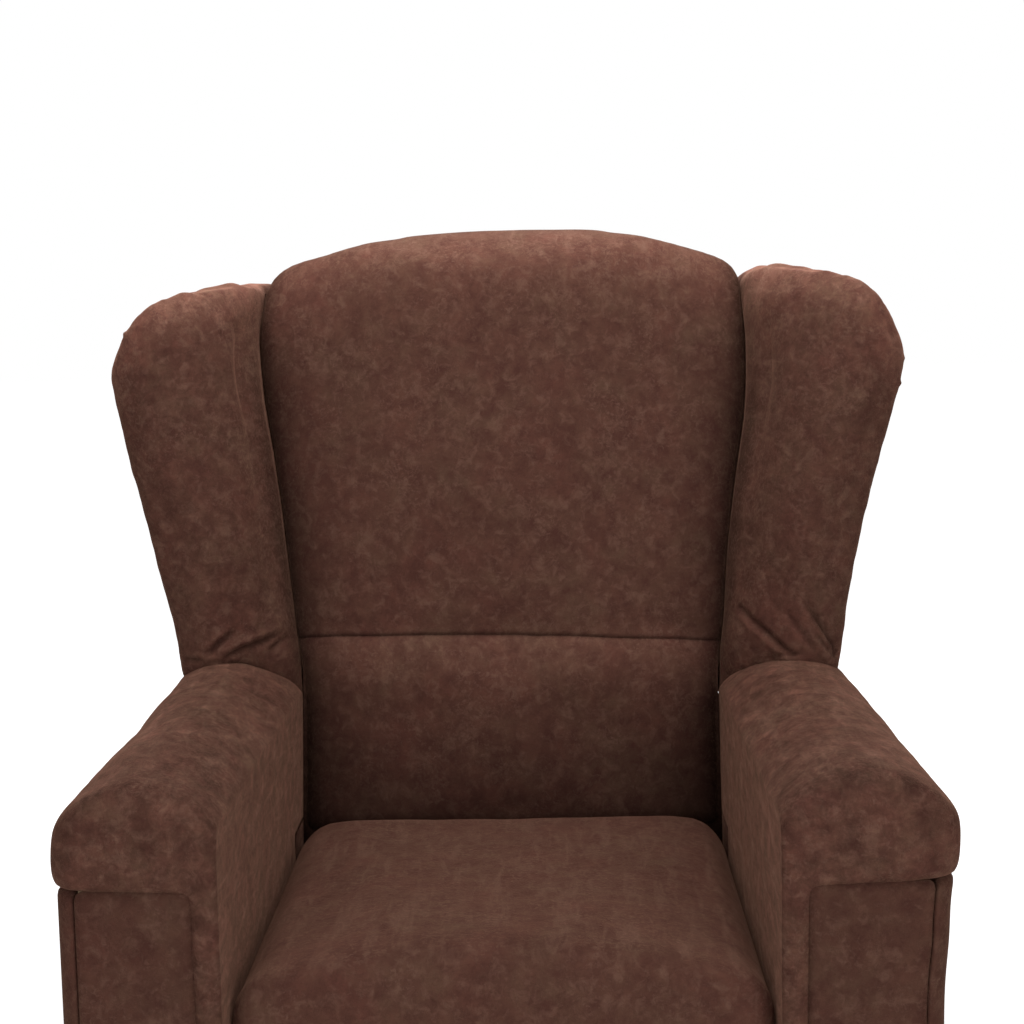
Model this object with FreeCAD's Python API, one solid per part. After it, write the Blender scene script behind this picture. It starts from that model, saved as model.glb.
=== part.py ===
import FreeCAD, Part
import math
import os
from FreeCAD import Vector

os.makedirs("parts", exist_ok=True)

ACROSS = Vector(1, 0, 0)
BACK = Vector(0, 1, 0)
UP = Vector(0, 0, 1)

# A wing-back push-back recliner. It faces -Y, +Z is up and left and right are the sitter's.
# The origin is the middle of the floor under the chair. Lengths are in millimetres, angles in degrees.
# The side frames stand on the floor. The seat slides forward on them as the winged back tips,
# and a scissor linkage under the seat swings the footrest out.

# Overall size.
overall_width = 876.0
overall_depth = 828.0
overall_height = 1109.0
front_y = -overall_depth / 2
rear_y = overall_depth / 2

# Gaps and cuts that many pieces share.
cloth_gap = 0.6
pin_clearance = 0.05
slot_clearance = 0.4
overrun = 5.0

# Back. It is drawn upright from its lower edge, then leant back. Heights run up its slope.
back_lean = 12.6
back_foot_z = 289.0
back_frame_depth = 50.0
back_cover_thickness = 18.0
back_top_depth = 90.0
back_top_front_radius = 70.0
back_top_rear_radius = 40.0
sin_lean = math.sin(math.radians(back_lean))
cos_lean = math.cos(math.radians(back_lean))
back_rear_depth = back_frame_depth + back_cover_thickness
summit_depth = back_top_depth - back_top_front_radius
summit_rise = overall_height - back_foot_z - summit_depth * sin_lean - back_top_front_radius
back_top_height = summit_rise / cos_lean + back_top_front_radius
rear_reach = ((back_rear_depth - back_top_rear_radius) * cos_lean
              + (back_top_height - back_top_rear_radius) * sin_lean + back_top_rear_radius)
back_foot_y = rear_y - rear_reach

# Back pivot, and the lever under it that pushes the seat.
recline_angle = 32.0
lever_length = 110.0
lever_stud_radius = 5.0
hinge_lead = 7.0
hinge_z = 406.0
hinge_radius = 6.0
hinge_head_radius = 9.0
hinge_head = 4.0
hinge_shoulder_radius = 12.0
hinge_y = back_foot_y - hinge_lead
lever_lead = lever_length * math.sin(math.radians(recline_angle / 2))
lever_reach = lever_length * math.cos(math.radians(recline_angle / 2))
stud_y = hinge_y + lever_lead
stud_z = hinge_z - lever_reach
seat_travel = 2 * lever_lead

# Arms.
seat_gap = 480.0
arm_width = 141.0
arm_top = 625.0
arm_crown_rise = 50.0
arm_shoulder_radius = 38.0
arm_front_radius = 42.0
arm_corner_radius = 30.0
arm_end_gap = 185.0
arm_tail_length = 54.0
arm_tail_drop = 85.0
arm_tail_radius = 45.0
arm_pad_bottom = 374.0
arm_pad_rear_bottom = 438.0
arm_pad_step = 81.0
arm_seam_drop = 85.0
skirt_bottom = 55.0
skin = 19.0
inner_x = seat_gap / 2
outer_x = inner_x + arm_width
arm_rear_y = rear_y - arm_end_gap

# Side frames of the chair.
panel_thickness = 18.0
inner_padding = 22.0
top_padding = 59.0
panel_bottom = 62.0
panel_x = inner_x + inner_padding
board_outer_x = outer_x - skin
frame_front_y = front_y + skin + cloth_gap
frame_rear_y = arm_rear_y - skin - cloth_gap
arm_board_top = arm_top - top_padding
arm_board_bottom = arm_board_top - panel_thickness
arm_tail_board_top = arm_board_bottom - arm_tail_drop + top_padding / 2

# Stretchers, rear panel, foot blocks and feet.
stretcher_thickness = 22.0
stretcher_height = 60.0
front_stretcher_back = 190.0
rear_panel_top = 240.0
rear_panel_edge_radius = 6.0
foot_block_length = 70.0
foot_block_height = 30.0
foot_top_half = 26.0
foot_toe_half = 19.0
foot_bevel = 4.0
foot_stud_radius = 4.0
foot_stud_length = 26.0
glide_radius = 15.0
glide_height = 4.0

# Steel plates of the mechanism. The gaps put each layer beside the next one, from the arm inwards.
plate_thickness = 3.0
link_thickness = 4.0
slide_gap = 6.0
layer_gap = 1.0
bracket_gap = 5.0
base_plate_x = panel_x - plate_thickness
seat_plate_x = base_plate_x - slide_gap - plate_thickness
layer_one_x = seat_plate_x - layer_gap - link_thickness
layer_two_x = layer_one_x - layer_gap - link_thickness
layer_three_x = layer_two_x - layer_gap - link_thickness
bracket_x = inner_x - bracket_gap

# Bolts and screws. They are small and hidden, so their heads, shanks and holes have flat sides,
# and so have rivets, collars and glides.
bolt_radius = 4.0
bolt_head_radius = 7.5
bolt_head = 5.0
bolt_margin = 26.0
screw_bite_share = 0.65
head_sides = 6
shank_sides = 8
disc_sides = 12

# The footrest scissor. Its links are equal, so every angle in it keeps one ratio to the first.
link_length = 220.0
link_half_width = 10.0
folded_angle = 84.0
open_angle = 9.0
rivet_radius = 4.0
rivet_head_radius = 7.0
rivet_head = 2.0
roller_radius = 8.0
scissor_back = 135.0
scissor_top = 325.0
link_tube_radius = 9.0
link_tube_bore = 7.0
hub_radius = 14.4
pivot_y = front_y + scissor_back
pivot_z = scissor_top
fold_run = link_length * math.cos(math.radians(folded_angle))
fold_drop = link_length * math.sin(math.radians(folded_angle))
open_drop = link_length * math.sin(math.radians(open_angle))

# Seat plates and the rails that they slide on.
web_rise = 37.0
web_rear_height = 80.0
leg_half_width = 22.0
leg_toe_radius = 20.0
web_corner_radius = 11.0
flange_width = 50.0
slide_stud_radius = 6.0
slide_head_radius = 10.0
slide_front = 70.0
slide_rear = 86.0
slide_low = 22.0
rail_strip_height = 50.0
rail_ear_radius = 20.0
web_top = pivot_z + web_rise
rail_z = web_top - slide_low

# Seat.
seat_rail_thickness = 22.0
seat_rail_height = 35.0
seat_frame_overhang = 78.0
seat_frame_gap = 73.0
seat_side_gap = 2.0
seat_rear_gap = 55.0
seat_cushion_front = 18.0
seat_cushion_height = 56.0
seat_crown = 14.0
seat_slope = 18.0
seat_lip = 30.0
seat_nose_radius = 26.0
seat_roll_radius = 42.0
cushion_edge = 4.0
spring_count = 4
spring_wire_radius = 1.9
spring_half_width = 30.0
spring_pitch = 84.0
spring_spacing = 72.0
spring_turn_runs = 3
clip_thickness = 1.0
clip_length = 14.0
seat_frame_half = inner_x - seat_side_gap
seat_frame_front_y = pivot_y - seat_frame_overhang
seat_frame_rear_y = hinge_y - seat_frame_gap
seat_rail_top = web_top + seat_rail_height
cushion_bottom = seat_rail_top + 2 * spring_wire_radius + clip_thickness + cloth_gap

# Footrest.
footrest_height = 268.0
footrest_rise = 24.0
footrest_board_thickness = 15.0
footrest_pad_thickness = 50.0
footrest_flange_lead = 14.0
footrest_wrap = 12.0
footrest_side_gap = 5.0
footrest_flange_width = 24.0
footrest_crown = 10.0
footrest_corner = 18.0
footrest_half = inner_x + inner_padding - footrest_side_gap
footrest_board_y = pivot_y - 2 * fold_run - footrest_flange_lead

# Cushions of the back, and the crease between them and the wings.
cushion_crease_depth = 50.0
cushion_crown_depth = 95.0
lumbar_crown_depth = 101.0
lumbar_full_share = 0.6
lumbar_tuck = 7.0
back_arch_radius = 864.0
back_corner_radius = 34.0
back_cushion_start = 132.0
back_seam_height = 348.0
crease_top_drop = 64.0
crease_top_x = 276.0
crease_foot_gap = 2.0
crease_top_height = back_top_height - crease_top_drop
crease_foot_x = inner_x - crease_foot_gap

# Back frame.
post_width = 35.0
post_top_drop = 69.0
rail_thickness = 25.0
rail_setback = 5.0
bottom_rail_height = 60.0
lumbar_rail_height = 40.0
top_rail_height = 92.0
top_rail_drop = 42.0
top_rail_cover = 64.0
webbing_width = 50.0
webbing_thickness = 2.0
webbing_count = 6
webbing_pitch = 92.0
webbing_low = 175.0
webbing_grip = 21.0
post_top_height = back_top_height - post_top_drop
top_rail_top = back_top_height - top_rail_drop
top_rail_low = top_rail_top - top_rail_height

# Back brackets.
bracket_top = 330.0
bracket_ear_radius = 14.4
bracket_strap_half = 17.0
bracket_web_half = 12.0
bracket_bolt_count = 3
bracket_bolt_depth = 40.0

# Wings, by height up the back. Each side keeps its direction all the way up.
wing_foot_height = 327.0
wing_widest_drop = 194.0
wing_depth_foot = 130.0
wing_depth_widest = 175.0
wing_foot_outer = 386.0
wing_nose_round = 8.0
wing_nose_width = 62.0
wing_nose_drop = 20.0
wing_nose_radius = 25.0
wing_face_slope = 1.02
wing_side_slope = 0.555
wing_course_share = 0.5
wing_rear_depth = 45.0
wing_top_drop = 63.0
wing_top_fall = 6.0
wing_corner_radius = 88.0
wing_clear = 1.2
wing_board_thickness = 15.0
wing_board_rear = 35.0
wing_board_margin = 40.0
wing_outer_half = overall_width / 2 + wing_nose_round
wing_widest_height = back_top_height - wing_widest_drop
wing_top_z = overall_height - wing_top_drop


def block(x, y, z):
    """A box between three pairs of limits."""
    corner = Vector(min(x), min(y), min(z))
    return Part.makeBox(max(x) - min(x), max(y) - min(y), max(z) - min(z), corner)


def wire(place, start, *steps):
    """A closed outline. A step is the next point, or a point to pass through and the next point."""
    edges = []
    here = start
    for step in list(steps) + [start]:
        if isinstance(step[0], tuple):
            through, there = step
            edges.append(Part.Arc(place(here), place(through), place(there)).toShape())
        else:
            there = step
            if math.dist(here, there) > pin_clearance:
                edges.append(Part.makeLine(place(here), place(there)))
        here = there
    return Part.Wire(edges)


def prism_x(low, high, start, *steps):
    """Extrudes a side outline of (y, z) points across the chair."""
    face = Part.Face(wire(lambda p: Vector(low, p[0], p[1]), start, *steps))
    return face.extrude(Vector(high - low, 0, 0))


def prism_y(low, high, start, *steps):
    """Extrudes a front outline of (x, z) points from front to back."""
    face = Part.Face(wire(lambda p: Vector(p[0], low, p[1]), start, *steps))
    return face.extrude(Vector(0, high - low, 0))


def prism_z(low, high, start, *steps):
    """Extrudes a plan outline of (x, y) points upwards."""
    face = Part.Face(wire(lambda p: Vector(p[0], p[1], low), start, *steps))
    return face.extrude(Vector(0, 0, high - low))


def rod_x(centre, radius, low, high):
    """A round bar across the chair through a (y, z) point."""
    return Part.makeCylinder(radius, high - low, Vector(low, *centre), Vector(1, 0, 0))


def stadium_x(start, end, radius, low, high):
    """A plate with round ends, or a slot, between two (y, z) points."""
    length = math.dist(start, end)
    along = ((end[0] - start[0]) / length, (end[1] - start[1]) / length)
    side = (-along[1] * radius, along[0] * radius)
    return prism_x(
        low,
        high,
        (start[0] + side[0], start[1] + side[1]),
        ((start[0] - along[0] * radius, start[1] - along[1] * radius),
         (start[0] - side[0], start[1] - side[1])),
        (end[0] - side[0], end[1] - side[1]),
        ((end[0] + along[0] * radius, end[1] + along[1] * radius),
         (end[0] + side[0], end[1] + side[1])),
    )


def corner_arc(corner, toward, away, radius):
    """Where a round corner leaves one side, passes its middle and meets the next side."""
    u = ((toward[0] - corner[0]), (toward[1] - corner[1]))
    w = ((away[0] - corner[0]), (away[1] - corner[1]))
    lu, lw = math.hypot(*u), math.hypot(*w)
    u = (u[0] / lu, u[1] / lu)
    w = (w[0] / lw, w[1] / lw)
    half = math.acos(max(-1, min(1, u[0] * w[0] + u[1] * w[1]))) / 2
    back = radius / math.tan(half)
    middle = ((u[0] + w[0]), (u[1] + w[1]))
    size = math.hypot(*middle)
    reach = radius / math.sin(half) - radius
    first = (corner[0] + u[0] * back, corner[1] + u[1] * back)
    through = (corner[0] + middle[0] / size * reach, corner[1] + middle[1] / size * reach)
    last = (corner[0] + w[0] * back, corner[1] + w[1] * back)
    return first, through, last


def rounded(prism, low, high, corners):
    """A prism whose outline is a polygon of (point, radius) corners, round where the radius isn't zero."""
    count = len(corners)
    steps = []
    for i, (corner, radius) in enumerate(corners):
        before = corners[i - 1][0]
        after = corners[(i + 1) % count][0]
        if radius:
            first, through, last = corner_arc(corner, before, after, radius)
            steps.append(first)
            steps.append((through, last))
        else:
            steps.append(corner)
    return prism(low, high, steps[0], *steps[1:])


def tapered(low, high):
    """A solid between two outlines whose matching sides are parallel, so that all its faces are flat."""
    outlines = [low, high]
    for i in range(len(low)):
        outlines.append([low[i - 1], low[i], high[i], high[i - 1]])
    faces = [Part.Face(Part.makePolygon(corners + corners[:1])) for corners in outlines]
    return Part.makeSolid(Part.makeShell(faces))


def faceted_bar(start, axis, radius, length, sides):
    """A straight bar with flat sides from a point along an axis. The radius reaches its corners."""
    u = Vector(axis.z, axis.x, axis.y)
    v = Vector(axis.y, axis.z, axis.x)
    corners = []
    for i in range(sides + 1):
        turn = 2 * math.pi * i / sides
        corners.append(start + u * (radius * math.cos(turn)) + v * (radius * math.sin(turn)))
    return Part.Face(Part.makePolygon(corners)).extrude(axis * length)


def disc_x(centre, radius, low, high):
    """A collar or head across the chair round a (y, z) point, with flat sides."""
    return faceted_bar(Vector(low, *centre), ACROSS, radius, high - low, disc_sides)


def disc_room_x(centre, radius, low, high):
    """A hole for a flat-sided pin to turn in. The hole's own flats lie outside the radius."""
    return disc_x(centre, radius / math.cos(math.pi / disc_sides), low, high)


def bolt(start, axis, grip, nut=False):
    """A bolt or screw: a head behind the start, a shank along the axis and, if asked, a nut past it."""
    solid = faceted_bar(start, axis * -1, bolt_head_radius, bolt_head, head_sides)
    solid = solid.fuse(faceted_bar(start, axis, bolt_radius, grip, shank_sides))
    if nut:
        solid = solid.fuse(faceted_bar(start + axis * grip, axis, bolt_head_radius, bolt_head, head_sides))
    return solid


def bolt_room(start, axis, depth):
    """What a bolt's shank is cut out of a piece, from a little before the start to a depth."""
    return faceted_bar(start - axis * overrun, axis, bolt_radius + pin_clearance, depth + overrun,
                       shank_sides)


def right_of(shape):
    """The same piece on the sitter's right."""
    return shape.mirror(Vector(0, 0, 0), Vector(1, 0, 0))


def lean(shape):
    """Tips a piece drawn on the upright back to the back's own slope."""
    leant = shape.copy()
    leant.rotate(Vector(0, 0, 0), Vector(1, 0, 0), -back_lean)
    leant.translate(Vector(0, back_foot_y, back_foot_z))
    return leant


def group(*shapes):
    """Several separate solids kept in one file."""
    return Part.makeCompound([solid for shape in shapes for solid in shape.Solids])


def save(name, shape):
    """Writes one piece, and stops if it isn't sound."""
    if not shape.Solids:
        raise SystemExit("%s has no solid" % name)
    for solid in shape.Solids:
        if not solid.isValid() or solid.Volume <= 0:
            raise SystemExit("%s is not a sound solid" % name)
    shape.exportStep("parts/%s.step" % name)


def save_pair(name, shape):
    """Writes a piece for the sitter's left, and its mirror image for the right."""
    save("left_" + name, shape)
    save("right_" + name, right_of(shape))


def arm_section(low, grow=0):
    """Front outline of an arm: straight sides under a top of three arcs."""
    half = arm_width / 2 + grow
    middle = inner_x + arm_width / 2
    spring = arm_top - arm_crown_rise
    top = arm_top + grow
    shoulder = arm_shoulder_radius + grow
    rise = arm_crown_rise + grow
    run = half - shoulder
    crown = (run ** 2 + rise ** 2 - shoulder ** 2) / (2 * (rise - shoulder))
    touch_x = run * crown / (crown - shoulder)
    touch_z = top - crown + (crown - rise) * crown / (crown - shoulder)
    turn = math.atan2(touch_z - spring, touch_x - run) / 2
    side_x = run + shoulder * math.cos(turn)
    side_z = spring + shoulder * math.sin(turn)
    return [
        (middle - half, low),
        (middle - half, spring),
        ((middle - side_x, side_z), (middle - touch_x, touch_z)),
        ((middle, top), (middle + touch_x, touch_z)),
        ((middle + side_x, side_z), (middle + half, spring)),
        (middle + half, low),
    ]


def edges_where(shape, test):
    """The edges whose middles pass a test."""
    return [edge for edge in shape.Edges if test(edge.CenterOfMass)]


def arm_form():
    """The whole outside of the left arm, from its front roll to its sloping tail."""
    front = prism_y(front_y, arm_rear_y, *arm_section(skirt_bottom))
    side = rounded(prism_x, inner_x - overrun, outer_x + overrun, [
        ((front_y, skirt_bottom), 0),
        ((front_y, arm_top + pin_clearance), arm_front_radius),
        ((arm_rear_y - arm_tail_length, arm_top + pin_clearance), arm_tail_radius),
        ((arm_rear_y, arm_top - arm_tail_drop), arm_corner_radius),
        ((arm_rear_y, skirt_bottom), 0),
    ])
    plan = rounded(prism_z, skirt_bottom, arm_top + overrun, [
        ((inner_x, front_y), 0),
        ((outer_x, front_y), arm_corner_radius),
        ((outer_x, arm_rear_y), arm_corner_radius),
        ((inner_x, arm_rear_y), 0),
    ])
    return front.common(side).common(plan)


def arm_pieces():
    """The left arm's padded top, its outer cover and its front cover, round the space of its frame."""
    form = arm_form()
    seam_z = arm_top - arm_seam_drop
    step_y = hinge_y - arm_pad_step
    core = block((panel_x - cloth_gap, board_outer_x + cloth_gap),
                 (frame_front_y - cloth_gap, arm_rear_y - arm_tail_length + cloth_gap),
                 (skirt_bottom - overrun, arm_board_top + cloth_gap))
    tail_core = prism_x(panel_x - cloth_gap, board_outer_x + cloth_gap,
                        (arm_rear_y - arm_tail_length, skirt_bottom - overrun),
                        (arm_rear_y - arm_tail_length, arm_board_bottom + cloth_gap),
                        (frame_rear_y + cloth_gap, arm_tail_board_top + cloth_gap),
                        (frame_rear_y + cloth_gap, skirt_bottom - overrun))
    under_pad = block((inner_x - overrun, panel_x), (front_y - overrun, arm_rear_y + overrun),
                      (skirt_bottom - overrun, arm_pad_bottom))
    over_hinge = block((inner_x - overrun, panel_x), (step_y, arm_rear_y + overrun),
                       (skirt_bottom - overrun, arm_pad_rear_bottom))
    shell = form.cut(core).cut(tail_core)
    below = block((panel_x - cloth_gap, outer_x + overrun), (front_y - overrun, arm_rear_y + overrun),
                  (skirt_bottom - overrun, seam_z))
    pad = shell.cut(below).cut(under_pad).cut(over_hinge)
    lower = shell.common(block((panel_x, outer_x), (front_y, arm_rear_y),
                               (skirt_bottom, seam_z - cloth_gap)))
    front_zone = block((panel_x, board_outer_x), (front_y, frame_front_y), (skirt_bottom, seam_z))
    front_cover = lower.common(front_zone)
    outer_cover = lower.cut(block((panel_x - overrun, board_outer_x + cloth_gap),
                                  (front_y - overrun, frame_front_y + overrun),
                                  (skirt_bottom - overrun, seam_z)))
    return pad, outer_cover, front_cover


def side_panel():
    """The plywood inside of the left arm, which carries the mechanism."""
    panel = prism_x(panel_x, panel_x + panel_thickness,
                    (frame_front_y, panel_bottom),
                    (frame_front_y, arm_board_bottom),
                    (arm_rear_y - arm_tail_length, arm_board_bottom),
                    (frame_rear_y, arm_tail_board_top),
                    (frame_rear_y, panel_bottom))
    for y, z in rail_bolt_places():
        panel = panel.cut(bolt_room(Vector(panel_x, y, z), ACROSS, panel_thickness + overrun))
    return panel


def end_board(y_low, top):
    """An upright board across the end of an arm, between the side panel and the outer cover."""
    return block((panel_x + panel_thickness, board_outer_x), (y_low, y_low + panel_thickness),
                 (panel_bottom, top))


def arm_board():
    """The board under the arm's top padding."""
    return block((panel_x, board_outer_x), (frame_front_y, arm_rear_y - arm_tail_length),
                 (arm_board_bottom, arm_board_top))


def stretcher(y_low):
    """A board that ties the two side panels together."""
    return block((-panel_x, panel_x), (y_low, y_low + stretcher_thickness),
                 (panel_bottom, panel_bottom + stretcher_height))


def foot_centres():
    """Where the four feet stand, as (x, y)."""
    x = (panel_x + panel_thickness + board_outer_x) / 2
    front = frame_front_y + panel_thickness + foot_block_length / 2
    rear = frame_rear_y - panel_thickness - foot_block_length / 2
    return [(side * x, y) for side in (1, -1) for y in (front, rear)]


def foot_block(x, y):
    """A block in the bottom of an arm that takes a foot's stud."""
    half = (board_outer_x - panel_x - panel_thickness) / 2
    solid = block((x - half, x + half), (y - foot_block_length / 2, y + foot_block_length / 2),
                  (panel_bottom, panel_bottom + foot_block_height))
    hole = faceted_bar(Vector(x, y, panel_bottom - overrun), UP, foot_stud_radius + pin_clearance,
                       foot_block_height + 2 * overrun, shank_sides)
    return solid.cut(hole)


def foot_outline(x, y, half, height):
    """A square with bevelled corners, as a section of a foot."""
    flat = half - foot_bevel
    corners = [(flat, half), (-flat, half), (-half, flat), (-half, -flat),
               (-flat, -half), (flat, -half), (half, -flat), (half, flat)]
    return [Vector(x + u, y + w, height) for u, w in corners]


def foot(x, y):
    """A square wooden foot that tapers to its toe, with the stud that holds it in its block."""
    taper = tapered(foot_outline(x, y, foot_toe_half, glide_height),
                    foot_outline(x, y, foot_top_half, panel_bottom))
    stud = faceted_bar(Vector(x, y, panel_bottom), UP, foot_stud_radius, foot_stud_length, shank_sides)
    return taper.fuse(stud)


def glide(x, y):
    """A plastic disc under a foot."""
    return faceted_bar(Vector(x, y, 0), UP, glide_radius, glide_height, disc_sides)


def rail_bolt_places():
    """Where the bolts hold the left base rail to its panel, as (y, z)."""
    front, rear = slide_places()
    return [(front[0] + 2 * bolt_margin, rail_z), (rear[0] - bolt_margin, rail_z),
            (hinge_y - bolt_margin, rail_z)]


def slide_places():
    """Where the slide studs stand on the left base rail, as (y, z)."""
    return [(pivot_y + slide_front, rail_z), (hinge_y - slide_rear, rail_z)]


def base_rail():
    """The steel rail on the inside of the left arm: a strip for the studs and an ear up to the back pivot."""
    low, high = base_plate_x, base_plate_x + plate_thickness
    places = slide_places()
    half = rail_strip_height / 2
    strip = stadium_x(places[0], (hinge_y, rail_z), half, low, high)
    ear = stadium_x((hinge_y, rail_z), (hinge_y, hinge_z), rail_ear_radius, low, high)
    brace = prism_x(low, high, (hinge_y - rail_ear_radius, hinge_z),
                    (hinge_y - 2 * rail_ear_radius, rail_z), (hinge_y, rail_z), (hinge_y, hinge_z))
    rail = strip.fuse(ear).fuse(brace).removeSplitter()
    for place in places:
        rail = rail.cut(disc_room_x(place, slide_stud_radius + pin_clearance, low - overrun, high + overrun))
    for y, z in rail_bolt_places():
        rail = rail.cut(bolt_room(Vector(low, y, z), ACROSS, plate_thickness + overrun))
    return rail.cut(rod_x((hinge_y, hinge_z), hinge_radius + pin_clearance, low - overrun, high + overrun))


def rail_bolt(y, z):
    """A bolt through the rail and the panel, with its nut on the panel's far side."""
    return bolt(Vector(base_plate_x, y, z), ACROSS, plate_thickness + panel_thickness, True)


def slide_stud(place):
    """A headed stud that carries the seat plate and lets it slide."""
    inner = seat_plate_x - cloth_gap
    head = disc_x(place, slide_head_radius, inner - rivet_head, inner)
    return head.fuse(disc_x(place, slide_stud_radius, inner, base_plate_x + plate_thickness))


def hinge_pin():
    """The pin of the back pivot, with a wide shoulder between the ear and the back bracket."""
    place = (hinge_y, hinge_z)
    inner = bracket_x - cloth_gap
    head = disc_x(place, hinge_head_radius, inner - hinge_head, inner)
    shank = rod_x(place, hinge_radius, inner, base_plate_x + plate_thickness)
    shoulder = disc_x(place, hinge_shoulder_radius, bracket_x + plate_thickness + cloth_gap, base_plate_x)
    return head.fuse(shank).fuse(shoulder)


def rear_panel():
    """The covered board between the arms under the back."""
    half = panel_x - cloth_gap
    rear = frame_rear_y
    return rounded(prism_x, -half, half, [
        ((rear - skin, panel_bottom), 0),
        ((rear, panel_bottom), 0),
        ((rear, rear_panel_top), rear_panel_edge_radius),
        ((rear - skin, rear_panel_top), rear_panel_edge_radius),
    ])


def seat_plate():
    """The left steel plate of the seat: a web with slide slots, a leg for the linkage and a rear tail."""
    low, high = seat_plate_x, seat_plate_x + plate_thickness
    tail_y = stud_y + bolt_margin / 2
    leg_bottom = pivot_z - fold_drop - leg_half_width
    web_low = rail_z - rail_strip_height / 2
    tail_low = web_top - web_rear_height
    plate = rounded(prism_x, low, high, [
        ((seat_frame_front_y, web_top), 0),
        ((seat_frame_front_y, web_top - plate_thickness), 0),
        ((pivot_y - 2 * leg_half_width, web_top - plate_thickness), 0),
        ((pivot_y - leg_half_width, web_low), leg_half_width),
        ((pivot_y - leg_half_width, leg_bottom), leg_toe_radius),
        ((pivot_y + leg_half_width, leg_bottom), leg_toe_radius),
        ((pivot_y + leg_half_width, web_low - leg_half_width), 0),
        ((pivot_y + 2 * leg_half_width, web_low), 0),
        ((stud_y - 3 * leg_half_width, web_low), leg_half_width),
        ((stud_y - leg_half_width, tail_low), web_corner_radius),
        ((tail_y, tail_low), web_corner_radius),
        ((tail_y, web_top), leg_half_width),
    ])
    flange = block((seat_plate_x + plate_thickness - flange_width, high),
                   (seat_frame_front_y, seat_frame_rear_y),
                   (web_top - plate_thickness, web_top))
    plate = plate.fuse(flange)
    cut_low, cut_high = low - overrun, high + overrun
    slot_radius = roller_radius + slot_clearance
    leg_slot = stadium_x((pivot_y, pivot_z - fold_drop), (pivot_y, pivot_z - open_drop), slot_radius,
                         cut_low, cut_high)
    plate = plate.cut(leg_slot)
    for y, z in slide_places():
        plate = plate.cut(stadium_x((y, z), (y + seat_travel, z), slide_stud_radius + slot_clearance,
                                    cut_low, cut_high))
    stud_slot = stadium_x((stud_y, hinge_z - lever_length), (stud_y, stud_z),
                          lever_stud_radius + slot_clearance, cut_low, cut_high)
    hub = rod_x((pivot_y, pivot_z), link_tube_radius + pin_clearance, cut_low, cut_high)
    plate = plate.cut(stud_slot).cut(hub)
    for x, y in seat_screw_places():
        plate = plate.cut(bolt_room(Vector(x, y, web_top - plate_thickness), UP, plate_thickness + overrun))
    return plate.removeSplitter()


def seat_screw_places():
    """Where screws hold the left side rail to the flange of its plate, as (x, y)."""
    x = seat_frame_half - seat_rail_thickness / 2
    return [(x, pivot_y), (x, seat_frame_rear_y - 3 * seat_rail_thickness)]


def seat_screw(x, y):
    """A screw up through the flange into a side rail."""
    under = web_top - plate_thickness
    return bolt(Vector(x, y, under), UP, plate_thickness + seat_rail_height * screw_bite_share)


def seat_side_rail():
    """The left one of the seat frame's two equal side rails."""
    rail = block((seat_frame_half - seat_rail_thickness, seat_frame_half),
                 (seat_frame_front_y + seat_rail_thickness, seat_frame_rear_y - seat_rail_thickness),
                 (web_top, seat_rail_top))
    for x, y in seat_screw_places():
        rail = rail.cut(bolt_room(Vector(x, y, web_top), UP,
                                  seat_rail_height * screw_bite_share + pin_clearance))
    return rail


def seat_cross_rail(y_low):
    """A front or rear rail of the seat frame."""
    return block((-seat_frame_half, seat_frame_half), (y_low, y_low + seat_rail_thickness),
                 (web_top, seat_rail_top))


def spring_offsets():
    """Where each seat spring lies across the seat."""
    return [spring_spacing * (i - (spring_count - 1) / 2) for i in range(spring_count)]


def seat_spring(x):
    """A zigzag seat spring: bars across it, joined at alternate ends by half turns in short runs."""
    start = seat_frame_front_y + seat_rail_thickness / 2
    span = seat_frame_rear_y - seat_rail_thickness / 2 - start
    count = 2 * round(span / spring_pitch)
    step = span / count
    reach = spring_half_width - step / 2
    line = [(x - reach, start)]
    for i in range(count):
        side = -1 if i % 2 else 1
        y = start + (i + 0.5) * step
        for k in range(spring_turn_runs + 1):
            turn = math.pi * (k / spring_turn_runs - 0.5)
            line.append((x + side * (reach + step / 2 * math.cos(turn)), y + step / 2 * math.sin(turn)))
    line.append((x + reach, start + span))
    near, far = [], []
    for i, here in enumerate(line):
        before = line[max(0, i - 1)]
        after = line[min(len(line) - 1, i + 1)]
        u = unit(before, here) if i else unit(here, after)
        w = unit(here, after) if i < len(line) - 1 else u
        share = spring_wire_radius / (1 + u[0] * w[0] + u[1] * w[1])
        offset = (-(u[1] + w[1]) * share, (u[0] + w[0]) * share)
        near.append(Vector(here[0] + offset[0], here[1] + offset[1], seat_rail_top))
        far.append(Vector(here[0] - offset[0], here[1] - offset[1], seat_rail_top))
    outline = near + far[::-1] + near[:1]
    return Part.Face(Part.makePolygon(outline)).extrude(Vector(0, 0, 2 * spring_wire_radius))


def unit(start, end):
    """The direction from one plan point to another."""
    length = math.dist(start, end)
    return (end[0] - start[0]) / length, (end[1] - start[1]) / length


def spring_clip(x, y):
    """A clip that holds the end bar of a spring down on its rail."""
    top = seat_rail_top + 2 * spring_wire_radius
    half = spring_half_width / 4
    plate = block((x - half, x + half), (y - clip_length / 2, y + clip_length / 2),
                  (seat_rail_top, top + clip_thickness))
    room = block((x - half - overrun, x + half + overrun),
                 (y - spring_wire_radius - pin_clearance, y + spring_wire_radius + pin_clearance),
                 (seat_rail_top - overrun, top + pin_clearance))
    return plate.cut(room)


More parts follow.
